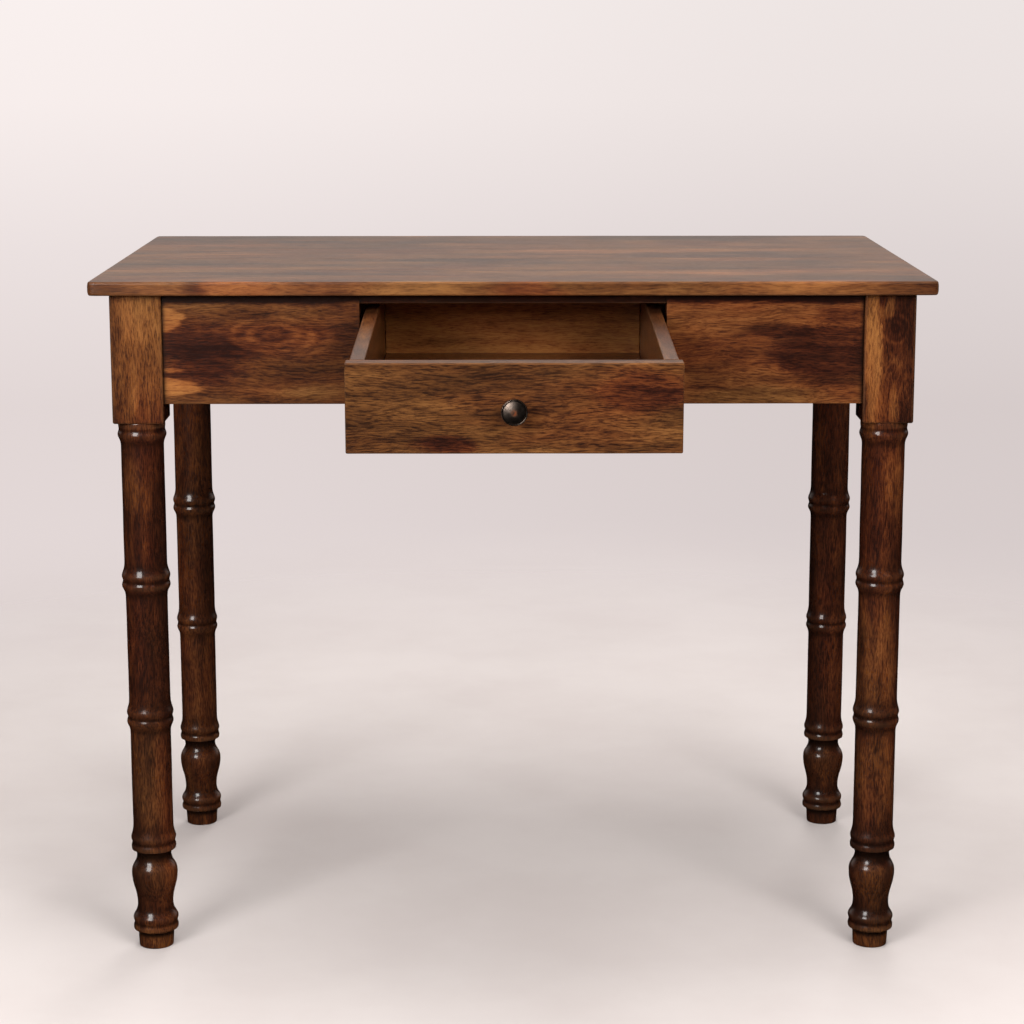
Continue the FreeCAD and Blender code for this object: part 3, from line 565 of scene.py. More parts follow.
# Figures of the wood: their waves to the metre along and across the grain, their detail and their roughness.
FIGURES = {"clouds": (3.6, 15.0, 4.0, 0.55), "streaks": (5.0, 95.0, 3.0, 0.6),
           "specks": (120.0, 900.0, 3.0, 0.6), "strands": (55.0, 800.0, 3.0, 0.6),
           "blotches": (20.0, 60.0, 4.0, 0.62), "fibres": (70.0, 1500.0, 2.0, 0.5)}
# How far figures shift the tone.
TONE_SHIFTS = {"streaks": 0.40, "blotches": 0.50, "fibres": 0.22}
# Values of a figure at which its dark marks start and at which they are full.
SPECK_MARKS = (0.46, 0.64)
STRAND_MARKS = (0.44, 0.68)


@dataclass(frozen=True)
class Patch:
    """A patch of other colour in the wood, or a strip of painted shade, feathered along the grain.

    Attributes:
        centre: Middle of the patch in the part's frame.
        reach: Half its length along X, Y and Z.
        dark: From -1, golden sapwood, to 1, dark heartwood.
        red: How much redder the patch is than the wood round it.
        soft: Share of its reach over which it fades out.
    """

    centre: Vec
    reach: Vec
    dark: float
    red: float = 0.0
    soft: float = 0.35


@dataclass(frozen=True)
class Knot:
    """A knot, ringed by bent grain.

    Attributes:
        centre: Middle of the knot in the part's frame.
        reach: Half the size of the bent grain along X, Y and Z.
        core: Share of the reach that the dark core takes up.
        rings: How many rings lie between the core and the reach.
        dark: How dark the core is.
    """

    centre: Vec
    reach: Vec
    core: float
    rings: float
    dark: float


@dataclass(frozen=True)
class Wood:
    """Lacquered hardwood whose clouds, streaks, flecks and rings run through the solid.

    Attributes:
        name: Name of the material.
        way: Axis of the grain.
        pith: Where the middle of the tree lies, which sets how the rings cut the faces.
        tone: From 0, dark heartwood, to 1, golden sapwood.
        red: From 0, olive brown, to 1, red brown.
        spread: How far the tone varies within the piece.
        patches: Patches of other colour.
        knots: Knots.
        sheen: Roughness of the wood under the lacquer.
        coat: Weight of the lacquer's own reflection.
        polish: Roughness of the lacquer.
        fleck: Strength of the short dark flecks.
        strand: Strength of the longer dark strands.
        ring: Distance between two year rings.
    """

    name: str
    way: Way
    pith: Vec
    tone: float = 0.42
    red: float = 0.5
    spread: float = 0.35
    patches: tuple[Patch, ...] = ()
    knots: tuple[Knot, ...] = ()
    sheen: float = 0.36
    coat: float = 0.45
    polish: float = 0.13
    fleck: float = 0.17
    strand: float = 0.24
    ring: float = 0.011

    def build(self) -> bpy.types.Material:
        """Build the material's nodes.

        The tone adds up from clouds, streaks, strands, flecks, rings, patches and knots, and the hue from
        clouds of its own and patches. Together they pick the colour.

        Returns:
            The material.
        """
        cloud_shift, ring_shift, ring_sway, hue_shift = 2.6, 0.035, 3.0, 2.2
        nodes = Graph(self.name)
        raw = nodes.place()
        turning = {"Vector": nodes.vector("SUBTRACT", raw, self.pith), "Rotation": GRAIN_TURN[self.way]}
        at = nodes.node("ShaderNodeMapping", turning).outputs[0]
        lean = nodes.vector("ADD", at, nodes.sway(at, (4.0, 11.0, 11.0), (0.0, 0.034, 0.034)))
        figures = {name: nodes.figure(lean, *waves) for name, waves in FIGURES.items()}
        radius = nodes.vector("LENGTH", nodes.scaled(lean, (0.04, 1.0, 1.0)), out=1)
        phase = nodes.about(figures["clouds"], ring_sway, nodes.math("DIVIDE", radius, self.ring))
        rings = nodes.math("SINE", nodes.math("MULTIPLY", phase, 2.0 * math.pi))
        fleck = nodes.remap(figures["specks"], *SPECK_MARKS)
        tone = nodes.about(figures["clouds"], self.spread * cloud_shift, self.tone)
        for name, shift in TONE_SHIFTS.items():
            tone = nodes.about(figures[name], shift, tone)
        strands = nodes.remap(figures["strands"], *STRAND_MARKS)
        for mark, shift in ((strands, -self.strand), (rings, ring_shift), (fleck, -self.fleck)):
            tone = nodes.math("MULTIPLY_ADD", mark, shift, tone)
        hue = nodes.noise(nodes.scaled(lean, (4.0, 17.0, 17.0)), 1.3, 3.0, 0.6)
        hue = nodes.about(hue, hue_shift, self.red)
        tone, hue = self.add_patches(nodes, raw, at, tone, hue)
        tone = self.add_knots(nodes, raw, at, tone)
        colour = nodes.mix(hue, nodes.ramp(tone, BROWNS), nodes.ramp(tone, REDS))
        self.lacquer(nodes, raw, colour, fleck, figures["fibres"])
        return nodes.material

    def lacquer(self, nodes: Graph, raw: Socket, colour: Socket, fleck: Socket, fibres: Socket) -> None:
        """Darken the wood where the mesh marks painted shade or grooves, rub and lacquer it; its flecks lie a
        little deeper than its fibres.

        Args:
            nodes: The material's nodes.
            raw: Place in the part's frame.
            colour: Colour of the clean wood.
            fleck: The dark flecks.
            fibres: The fibres.
        """
        groove_and_shade_cover, rubbed_cover, rubbed_share = 0.92, 0.28, 0.5
        smudge_rough, fleck_rough, wear_rough = 0.18, 0.10, 0.10
        fleck_depth, fibre_height = 0.6, 0.8
        wear, grime_and_shade = nodes.attribute("wear"), nodes.attribute("grime_and_shade")
        # Painted shade at the held ends of aprons, and the darker hollows and grooves of the legs, mixed
        # towards near-black brown.
        colour = nodes.mix(nodes.math("MULTIPLY", grime_and_shade, groove_and_shade_cover, clamp=True), colour, GROOVE_AND_SHADE_BROWN)
        worn = nodes.mix(rubbed_share, colour, RUBBED_WOOD)
        colour = nodes.mix(nodes.math("MULTIPLY", wear, rubbed_cover, clamp=True), colour, worn)
        smudge = nodes.noise(raw, 24.0, 4.0, 0.6)
        rough = nodes.about(smudge, smudge_rough, self.sheen)
        rough = nodes.math("MULTIPLY_ADD", fleck, fleck_rough, rough)
        rough = nodes.math("MULTIPLY_ADD", wear, wear_rough, rough, clamp=True)
        height = nodes.math("MULTIPLY_ADD", fleck, -fleck_depth, nodes.math("MULTIPLY", fibres, fibre_height))
        nodes.set(base_color=colour, roughness=rough, normal=nodes.bump(height, 0.2, 0.5 * MM),
                  coat_weight=self.coat, coat_roughness=self.polish, specular_ior_level=0.16)

    def add_patches(self, nodes: Graph, raw: Socket, at: Socket, tone: Socket,
                    hue: Socket) -> tuple[Socket, Socket]:
        """Shift the tone and hue inside each patch, whose edge is drawn out along the grain.

        Args:
            nodes: The material's nodes.
            raw: Place in the part's frame.
            at: Place about the pith, with X along the grain.
            tone: Tone of the wood round the patches.
            hue: Hue of the wood round the patches.

        Returns:
            The new tone and hue.
        """
        if not self.patches:
            return tone, hue
        height = [10 * MM] * 3
        height[self.way.value[0]] = 55 * MM
        uneven = nodes.vector("ADD", raw, nodes.sway(at, (14.0, 80.0, 80.0), tuple(height)))
        for patch in self.patches:
            near = nodes.remap(nodes.near(uneven, patch.centre, patch.reach), 0.0, patch.soft)
            tone = nodes.math("MULTIPLY_ADD", near, -0.5 * patch.dark, tone)
            hue = nodes.math("MULTIPLY_ADD", near, patch.red, hue)
        return tone, hue

    def add_knots(self, nodes: Graph, raw: Socket, at: Socket, tone: Socket) -> Socket:
        """Ring each knot with light and dark grain and darken its core.

        Args:
            nodes: The material's nodes.
            raw: Place in the part's frame.
            at: Place about the pith, with X along the grain.
            tone: Tone of the wood round the knots.

        Returns:
            The new tone.
        """
        if not self.knots:
            return tone
        ring_shift = 0.075
        uneven = nodes.vector("ADD", raw, nodes.sway(at, (30.0, 60.0, 60.0), (6 * MM,) * 3))
        for knot in self.knots:
            near = nodes.near(uneven, knot.centre, knot.reach)
            waves = nodes.math("SINE", nodes.math("MULTIPLY", near, 2.0 * math.pi * knot.rings))
            fade = nodes.remap(near, 0.0, 0.5)
            tone = nodes.math("MULTIPLY_ADD", nodes.math("MULTIPLY", waves, fade), ring_shift, tone)
            core = nodes.remap(near, 1.0 - knot.core * 1.5, 1.0 - knot.core * 0.5)
            tone = nodes.math("MULTIPLY_ADD", core, -knot.dark, tone)
        return tone


@dataclass(frozen=True)
class Metal:
    """Aged metal with bright worn places.

    Attributes:
        name: Name of the material.
        dark: Colour of the aged skin.
        bare: Colour where it is worn bare.
        sheen: Roughness of the aged skin.
    """

    name: str
    dark: Vec
    bare: Vec
    sheen: float

    def build(self) -> bpy.types.Material:
        """Build the material's nodes.

        Returns:
            The material.
        """
        nodes = Graph(self.name)
        raw = nodes.place()
        lighter, grime_cover, cloud_rough, worn_rough = 1.7, 0.8, 0.25, 0.42
        cloud = nodes.noise(raw, 220.0, 4.0, 0.6)
        specks = nodes.noise(raw, 1400.0, 2.0, 0.5)
        worn = nodes.math("MULTIPLY", nodes.attribute("wear"), nodes.remap(cloud, 0.25, 0.6), clamp=True)
        light = tuple(c * lighter for c in self.dark)
        skin = nodes.mix(nodes.remap(cloud, 0.3, 0.75), (*self.dark, 1.0), (*light, 1.0))
        grime_and_shade = nodes.math("MULTIPLY", nodes.attribute("grime_and_shade"), grime_cover, clamp=True)
        skin = nodes.mix(grime_and_shade, skin, METAL_GRIME)
        colour = nodes.mix(worn, skin, (*self.bare, 1.0))
        rough = nodes.about(cloud, cloud_rough, self.sheen)
        rough = nodes.math("MULTIPLY_ADD", worn, worn_rough, rough, clamp=True)
        nodes.set(base_color=colour, metallic=1.0, roughness=rough, normal=nodes.bump(specks, 0.12, 0.3 * MM))
        return nodes.material


@dataclass(frozen=True)
class Plaster:
    """Pale, faintly clouded floor, which the camera sees a little lighter and which fades out far away.

    Attributes:
        name: Name of the material.
        pale: Its colour.
        deep: Its colour in the darker clouds.
        glow: How much lighter the camera sees it.
        dim: Share of the light that it keeps back from what stands on it.
        near: Distance from the desk at which it starts to fade out.
        far: Distance at which it is gone.
    """

    name: str = "stage_plaster"
    pale: Vec = (0.74, 0.69, 0.68)
    deep: Vec = (0.69, 0.635, 0.625)
    glow: float = 0.05
    dim: float = 0.5
    near: float = 0.7
    far: float = 2.3

    def build(self) -> bpy.types.Material:
        """Build the material's nodes.

        Returns:
            The material.
        """
        nodes = Graph(self.name)
        raw = nodes.place()
        path = nodes.node("ShaderNodeLightPath", {}).outputs
        cloud = nodes.noise(raw, 2.2, 5.0, 0.6)
        colour = nodes.mix(nodes.remap(cloud, 0.35, 0.68), (*self.pale, 1.0), (*self.deep, 1.0))
        kept_back = nodes.math("MULTIPLY", path["Is Diffuse Ray"], self.dim)
        dim = nodes.mix(kept_back, colour, (0.0, 0.0, 0.0, 1.0))
        glow = nodes.math("MULTIPLY", path["Is Camera Ray"], self.glow)
        nodes.set(base_color=dim, roughness=0.85, specular_ior_level=0.1, emission_color=colour,
                  emission_strength=glow)
        away = nodes.remap(nodes.vector("LENGTH", raw, out=1), self.near, self.far)
        clear = nodes.node("ShaderNodeBsdfTransparent", {}).outputs[0]
        faded = nodes.node("ShaderNodeMixShader", {0: away, 1: nodes.shader.outputs[0], 2: clear}).outputs[0]
        nodes.join(faded, nodes.output.inputs["Surface"])
        return nodes.material


# Sub-assemblies


def dress(thing: bpy.types.Object, body: Body, node: str, finish: Wood | Metal) -> None:
    """Give a finished piece its material and its body, and hide the CAD node that it stands for.

    Args:
        thing: The piece.
        body: Body that it rides on.
        node: CAD node that it replaces.
        finish: Its finish.
    """
    thing.data.materials.append(finish.build())
    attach(thing, body.value)
    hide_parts(node)
    log.info("%s: %d vertices, rides on %s", thing.name, len(thing.data.vertices), body.value)


def corners(node: str) -> tuple[np.ndarray, np.ndarray]:
    """Give a CAD node's lowest and highest corners as arrays."""
    low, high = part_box(node)
    return np.array(low), np.array(high)


def node_points(node: str) -> np.ndarray:
    """Give a CAD node's vertices.

    Args:
        node: Name of the node.

    Returns:
        The vertices as rows.
    """
    mesh = frame["nodes"][node].data
    flat = np.zeros(len(mesh.vertices) * 3)
    mesh.vertices.foreach_get("co", flat)
    return flat.reshape(-1, 3)


# Lacquers, as Wood's fields.
TOP_LACQUER = {"coat": 0.75, "polish": 0.30, "fleck": 0.10, "strand": 0.20}
LEG_LACQUER = {"sheen": 0.28, "coat": 0.7, "fleck": 0.25, "strand": 0.22}
DRAWER_LACQUER = {"coat": 1.0, "polish": 0.30}
BARE = {"sheen": 0.5, "coat": 0.0}
# Where patches lie along Y: on the front of the frame and on the leg blocks.
FRAME_FRONT = -0.262
BLOCK_FRONT = -0.266


def rim_patch(x: float, wide: float, dark: float, red: float, soft: float) -> Patch:
    """Give a patch on the front edge of the top."""
    return Patch((x, -0.28, 0.741), (wide, 0.03, 0.03), dark, red, soft)


def front_patch(x: float, z: float, wide: float, high: float, dark: float, red: float, soft: float,
                y: float = FRAME_FRONT) -> Patch:
    """Give a patch that shows on the front of the frame."""
    return Patch((x, y, z), (wide, 0.05, high), dark, red, soft)


# Painted shade: the strip of the front panels under the overhang of the top, drawn dark where the overhang's
# shadow falls.
OVERHANG_SHADE = front_patch(0.0, 0.7330, 4.0, 0.0095, 1.5, 0.2, 0.75)


@dataclass
class Tabletop:
    """The top of four boards, glued edge to edge."""

    rim: float = 2.6 * MM
    seam: float = 0.35 * MM
    corner: float = 6.5 * MM
    wave: float = 0.05 * MM
    seed: int = 10
    woods: tuple[Wood, ...] = (
        Wood("top_wood_1", Way.X, (0.3, -0.20, 0.80), 0.52, 0.25, 0.40,
             (Patch((0.0, -0.284, 0.738), (2.0, 0.016, 0.022), -0.22, 0.1, 0.5),
              rim_patch(-0.334, 0.022, 0.55, 0.0, 0.9), rim_patch(-0.295, 0.055, -0.25, 0.8, 0.8),
              rim_patch(-0.430, 0.060, 0.34, 0.0, 0.9), rim_patch(0.430, 0.085, 0.34, 0.2, 0.9),
              rim_patch(-0.110, 0.110, -0.42, -0.4, 0.8), rim_patch(0.015, 0.060, 0.02, 0.8, 0.8)),
             **TOP_LACQUER),
        Wood("top_wood_2", Way.X, (-0.4, -0.06, 0.69), 0.48, 0.22, 0.42, **TOP_LACQUER),
        Wood("top_wood_3", Way.X, (0.2, 0.05, 0.82), 0.52, 0.25, 0.40, **TOP_LACQUER),
        Wood("top_wood_4", Way.X, (-0.1, 0.22, 0.70), 0.46, 0.25, 0.42, **TOP_LACQUER),
    )

    def build(self) -> None:
        """Build the four boards, round on the outer rim and crisp at the seams."""
        last = len(self.woods) - 1
        for index, wood in enumerate(self.woods):
            node = f"top_board_{index + 1}"
            back = self.rim if index == last else self.seam
            front = self.rim if index == 0 else self.seam
            plan = (self.corner if index == 0 else 0.0, self.corner if index == last else 0.0)
            board = Board(*corners(node), Way.X, (back, front, front, back), self.rim, self.seed + index,
                          self.wave, stations=150, flats=24, plan=plan)
            thing = skin_mesh(f"tabletop_{index + 1}", [board.skin()])
            dress(thing, Body.DESK, node, wood)


@dataclass
class Leg:
    """A leg with a square block over a turning with three bamboo nodes.

    The turned profile is read from the CAD solid, so it keeps every ring and lip.
    """

    name: str
    wood: Wood
    seed: int
    edge: float = 2.4 * MM
    uneven: float = 0.25 * MM
    step: float = 1.6 * MM
    ease: float = 1.7 * MM
    steep: float = 1.1
    block_round: float = 2 * MM
    wave: float = 0.05 * MM

    def profile(self, points: np.ndarray, axis: np.ndarray, block: float) -> tuple[np.ndarray, np.ndarray]:
        """Read the turned profile from the CAD vertices below the block.

        Args:
            points: The CAD vertices.
            axis: X and Y of the leg's axis.
            block: Height at which the square block starts.

        Returns:
            Heights and radii, from the floor up to a closed end inside the block.
        """
        clear, core = 0.2 * MM, 5 * MM
        soft, part_way, inner_ring = 0.6 * MM, 0.3, 0.6
        radius = np.hypot(points[:, 0] - axis[0], points[:, 1] - axis[1])
        turned = (points[:, 2] < block - clear) & (radius > core)
        height, reach = np.round(points[turned, 2], 6), radius[turned]
        levels, place = np.unique(height, return_inverse=True)
        mean = np.bincount(place, reach) / np.bincount(place)
        steps = np.arange(levels[0], levels[-1], self.step)
        fine = np.unique(np.round(np.concatenate([levels, steps]), 5))
        radii = self.eased(fine, levels, mean)
        foot, over = radii[0], fine > soft
        heights = np.concatenate([[0.0, 0.0, 0.0, soft * part_way], fine[over], [block + MM, block + MM]])
        sole = [0.0, foot * inner_ring, foot - soft, foot - soft * part_way]
        return heights, np.concatenate([sole, radii[over], [radii[-1], 0.0]])

    def eased(self, at: np.ndarray, levels: np.ndarray, radii: np.ndarray) -> np.ndarray:
        """Ease the corners where a shaft meets a flare, and leave the steep sides of rings and grooves.

        The eased radius is the mean over a bell-shaped window, mixed in where no slope nearby is steep.

        Args:
            at: Heights at which to give the radius.
            levels: Heights of the profile's own points.
            radii: Radii of the profile's own points.

        Returns:
            The radius at each height.
        """
        step, wide, near = 0.25 * MM, 30, 5
        dense = np.arange(levels[0], levels[-1] + step, step)
        plain = np.interp(dense, levels, radii)
        bell = np.exp(-0.5 * (np.arange(-wide, wide + 1) * step / self.ease) ** 2)
        bell /= bell.sum()
        window = np.ones(2 * near + 1)
        soft = np.convolve(np.pad(plain, wide, mode="edge"), bell, mode="valid")
        steep = (np.abs(np.gradient(plain, step)) > self.steep).astype(float)
        near_steep = np.convolve(np.pad(steep, near, mode="edge"), window, mode="valid") > 0
        share = np.convolve(np.pad(1.0 - near_steep, near, mode="edge"), window / len(window), mode="valid")
        return np.interp(at, dense, plain + share * (soft - plain))

    def build(self) -> None:
        """Build the block and the turning as one piece."""
        touching = 0.01 * MM
        points = node_points(self.name)
        low, high = corners(self.name)
        axis = (low + high)[:2] / 2
        sides = np.abs(points[:, :2] - axis).max(1)
        flat = (high - low)[0] / 2
        block = points[sides > flat - touching, 2].min() - self.block_round
        heights, radii = self.profile(points, axis, block)
        foot, upward = np.array([*axis, 0.0]), np.array([0.0, 0.0, 1.0])
        turning = Turning(foot, upward, heights, radii, self.seed, self.uneven, around=88)
        low[2] = block
        head = Board(low, high, Way.Z, (self.edge,) * 4, self.edge, self.seed + 3, self.wave, stations=40)
        thing = skin_mesh(self.name.replace("leg", "turned_leg"), [turning.skin(), head.skin()])
        dress(thing, Body.DESK, self.name, self.wood)


@dataclass
class Apron:
    """One plain board of the frame between two ends."""

    node: str
    way: Way
    ends: tuple[float, float]
    wood: Wood
    seed: int
    held: tuple[bool, bool] = (True, True)
    edge: float = 1.3 * MM
    end: float = 0.5 * MM
    wave: float = 0.06 * MM
    # Reach of the painted shade from each held end.
    corner: float = 3.2 * MM

    def build(self) -> None:
        """Build the board between its shoulders, which the CAD node's tenons run past.

        Painted shade darkens it near each end that another piece holds.
        """
        low, high = corners(self.node)
        axis = self.way.value[0]
        low[axis], high[axis] = self.ends
        board = Board(low, high, self.way, (self.edge,) * 4, self.end, self.seed, self.wave, stations=140)
        skin = board.skin()
        along = skin.rings[..., axis]
        # Painted shade near each held end, added to the mesh's darkening.
        for held, gap in zip(self.held, (along - self.ends[0], self.ends[1] - along)):
            skin.grime_and_shade += held * bell(gap, 0.0, self.corner)
        thing = skin_mesh(f"{self.node}_board", [skin])
        dress(thing, Body.DESK, self.node, self.wood)


@dataclass
class Drawer:
    """The drawer box and its knob, worked out level and then tipped to where the part holds the drawer."""

    tip: float = 0.0
    origin: np.ndarray = field(default_factory=lambda: np.zeros(3))
    edge: float = 1.6 * MM
    wave: float = 0.05 * MM
    knob_inside: float = 0.999
    seed: int = 60
    front_wood: Wood = Wood(
        "drawer_front_wood", Way.X, (0.05, -0.62, 0.78), 0.50, 0.16, 0.30,
        (Patch((0.125, -0.55, 0.675), (0.060, 0.05, 0.030), 0.25, 0.9, 0.7),
         Patch((-0.065, -0.55, 0.622), (0.040, 0.05, 0.012), 0.45, 1.0, 0.6)), fleck=0.18, strand=0.34)
    side_woods: tuple[Wood, Wood] = (
        Wood("drawer_side_left_wood", Way.Y, (-0.25, -0.3, 0.80), 0.46, 0.32, 0.30, **DRAWER_LACQUER),
        Wood("drawer_side_right_wood", Way.Y, (0.22, -0.3, 0.62), 0.46, 0.32, 0.30, **DRAWER_LACQUER),
    )
    back_wood: Wood = Wood("drawer_back_wood", Way.X, (0.0, -0.05, 0.60), 0.92, 0.66, 0.34)
    floor_wood: Wood = Wood("drawer_floor_wood", Way.X, (0.0, -0.3, 0.55), 0.55, 0.75, 0.30)
    bronze: Metal = Metal("knob_bronze", (0.165, 0.128, 0.106), (0.66, 0.25, 0.12), 0.42)

    def read_frame(self) -> None:
        """Take the drawer's tip and place at rest from the part's joints."""
        joints = {joint["name"]: joint for joint in frame["joints"]}
        slide = np.array(joints["drawer_slide"]["axis"], float)
        self.tip = math.atan2(-slide[2], -slide[1])
        self.origin = np.array(joints["drawer_tip"]["pos_m"], float)

    def turn(self) -> np.ndarray:
        """Give the matrix that tips the drawer."""
        return np.array(Matrix.Rotation(self.tip, 3, "X"))

    def tipped(self, points: np.ndarray) -> np.ndarray:
        """Take points from the drawer's frame to the part's frame."""
        return points @ self.turn().T + self.origin

    def local_box(self, node: str) -> tuple[np.ndarray, np.ndarray]:
        """Give a CAD node's corners in the drawer's frame."""
        points = (node_points(node) - self.origin) @ self.turn()
        return points.min(0), points.max(0)

    def board(self, name: str, node: str, low: np.ndarray, high: np.ndarray, way: Way, wood: Wood,
              seed: int) -> None:
        """Build one board of the drawer.

        Args:
            name: Name of the piece.
            node: CAD node that it stands for.
            low: Lowest corner in the drawer's frame.
            high: Highest corner in the drawer's frame.
            way: Axis of its length and grain.
            wood: Its finish.
            seed: Picks its wear.
        """
        skin = Board(low, high, way, (self.edge,) * 4, self.edge, seed, self.wave, stations=70).skin()
        skin.rings = self.tipped(skin.rings)
        dress(skin_mesh(name, [skin]), Body.DRAWER, node, wood)

    def build(self) -> None:
        """Build the front, the sides, the back, the bottom and the knob."""
        self.read_frame()
        front_low, front_high = self.local_box("drawer_front")
        self.board("drawer_front_board", "drawer_front", front_low, front_high, Way.X, self.front_wood,
                   self.seed)
        inner = {}
        for side, wood in zip(("left", "right"), self.side_woods):
            node = f"drawer_side_{side}"
            low, high = self.local_box(node)
            low[1] = front_high[1]
            inner[side] = high[0] if side == "left" else low[0]
            self.board(f"{node}_board", node, low, high, Way.Y, wood, self.seed + 1 + len(inner))
        low, high = self.local_box("drawer_back")
        low[0], high[0] = inner["left"], inner["right"]
        self.board("drawer_back_board", "drawer_back", low, high, Way.X, self.back_wood, self.seed + 5)
        back_face = low[1]
        low, high = self.local_box("drawer_bottom")
        low[:2], high[:2] = (inner["left"], front_high[1]), (inner["right"], back_face)
        self.board("drawer_floor_board", "drawer_bottom", low, high, Way.X, self.floor_wood, self.seed + 6)
        self.build_knob(front_low[1], self.local_box("drawer_knob"))

    def knob_outline(self) -> np.ndarray:
        """Give the knob's outline as shares of its projection and of its radius.

        A flat rosette, a neck that narrows by a cubic, a rim of half an ellipse, a groove of half a sine wave
        and a dome of a parabola.

        Returns:
            Places along the axis and radii, shaped (2, points).
        """
        rise, turn = np.linspace(0, 1, 24), np.linspace(0, np.pi, 28)
        rosette = np.array([(0.0, 0.0, 0.095, 0.1), (0.0, 0.615, 0.615, 0.605)])
        neck = np.stack([0.105 + 0.615 * rise, 0.463 + 0.135 * (1 - rise) ** 3 + 0.05 * rise ** 12])
        rim = np.stack([0.813 - 0.08 * np.cos(turn), 0.925 + 0.075 * np.sin(turn)])
        groove = np.stack([0.893 - 0.021 * turn / np.pi - 0.024 * np.sin(turn), 0.885 + 0.04 * np.cos(turn)])
        dome = np.stack([1.0 - 0.128 * (1 - rise) ** 2, 0.845 * (1 - rise)])
        return np.concatenate([rosette, neck, rim, groove[:, 1:-1], dome], axis=1)

    def build_knob(self, face: float, box: tuple[np.ndarray, np.ndarray]) -> None:
        """Build the knob as a turning, rubbed bare at its middle and dark in its groove.

        Args:
            face: Where the drawer front's face lies along the drawer.
            box: The CAD knob's corners in the drawer's frame.
        """
        low, high = box
        centre, full, out = (low + high)[2] / 2, (high - low)[0] / 2, face - low[1]
        place, radius = self.knob_outline() * np.array([[out * self.knob_inside], [full]])
        foot, outward = np.array([0.0, face, centre]), np.array([0.0, -1.0, 0.0])
        skin = Turning(foot, outward, place, radius, self.seed + 10, around=72).skin()
        share = radius / full
        spot_wear, rim_wear, dome_start = 2.6, 0.12, 0.9
        spot = spot_wear * bell(share, 0.0, 0.17) * (place > dome_start * out)
        rim = rim_wear * bell(share, 0.97, 0.03)
        groove = bell(share, 0.872, 0.022)
        skin.wear = np.broadcast_to((spot + rim)[:, None], skin.wear.shape).copy()
        skin.grime_and_shade = np.broadcast_to(groove[:, None], skin.wear.shape).copy()
        skin.rings = self.tipped(skin.rings)
        dress(skin_mesh("knob_turned", [skin]), Body.DRAWER, "drawer_knob", self.bronze)


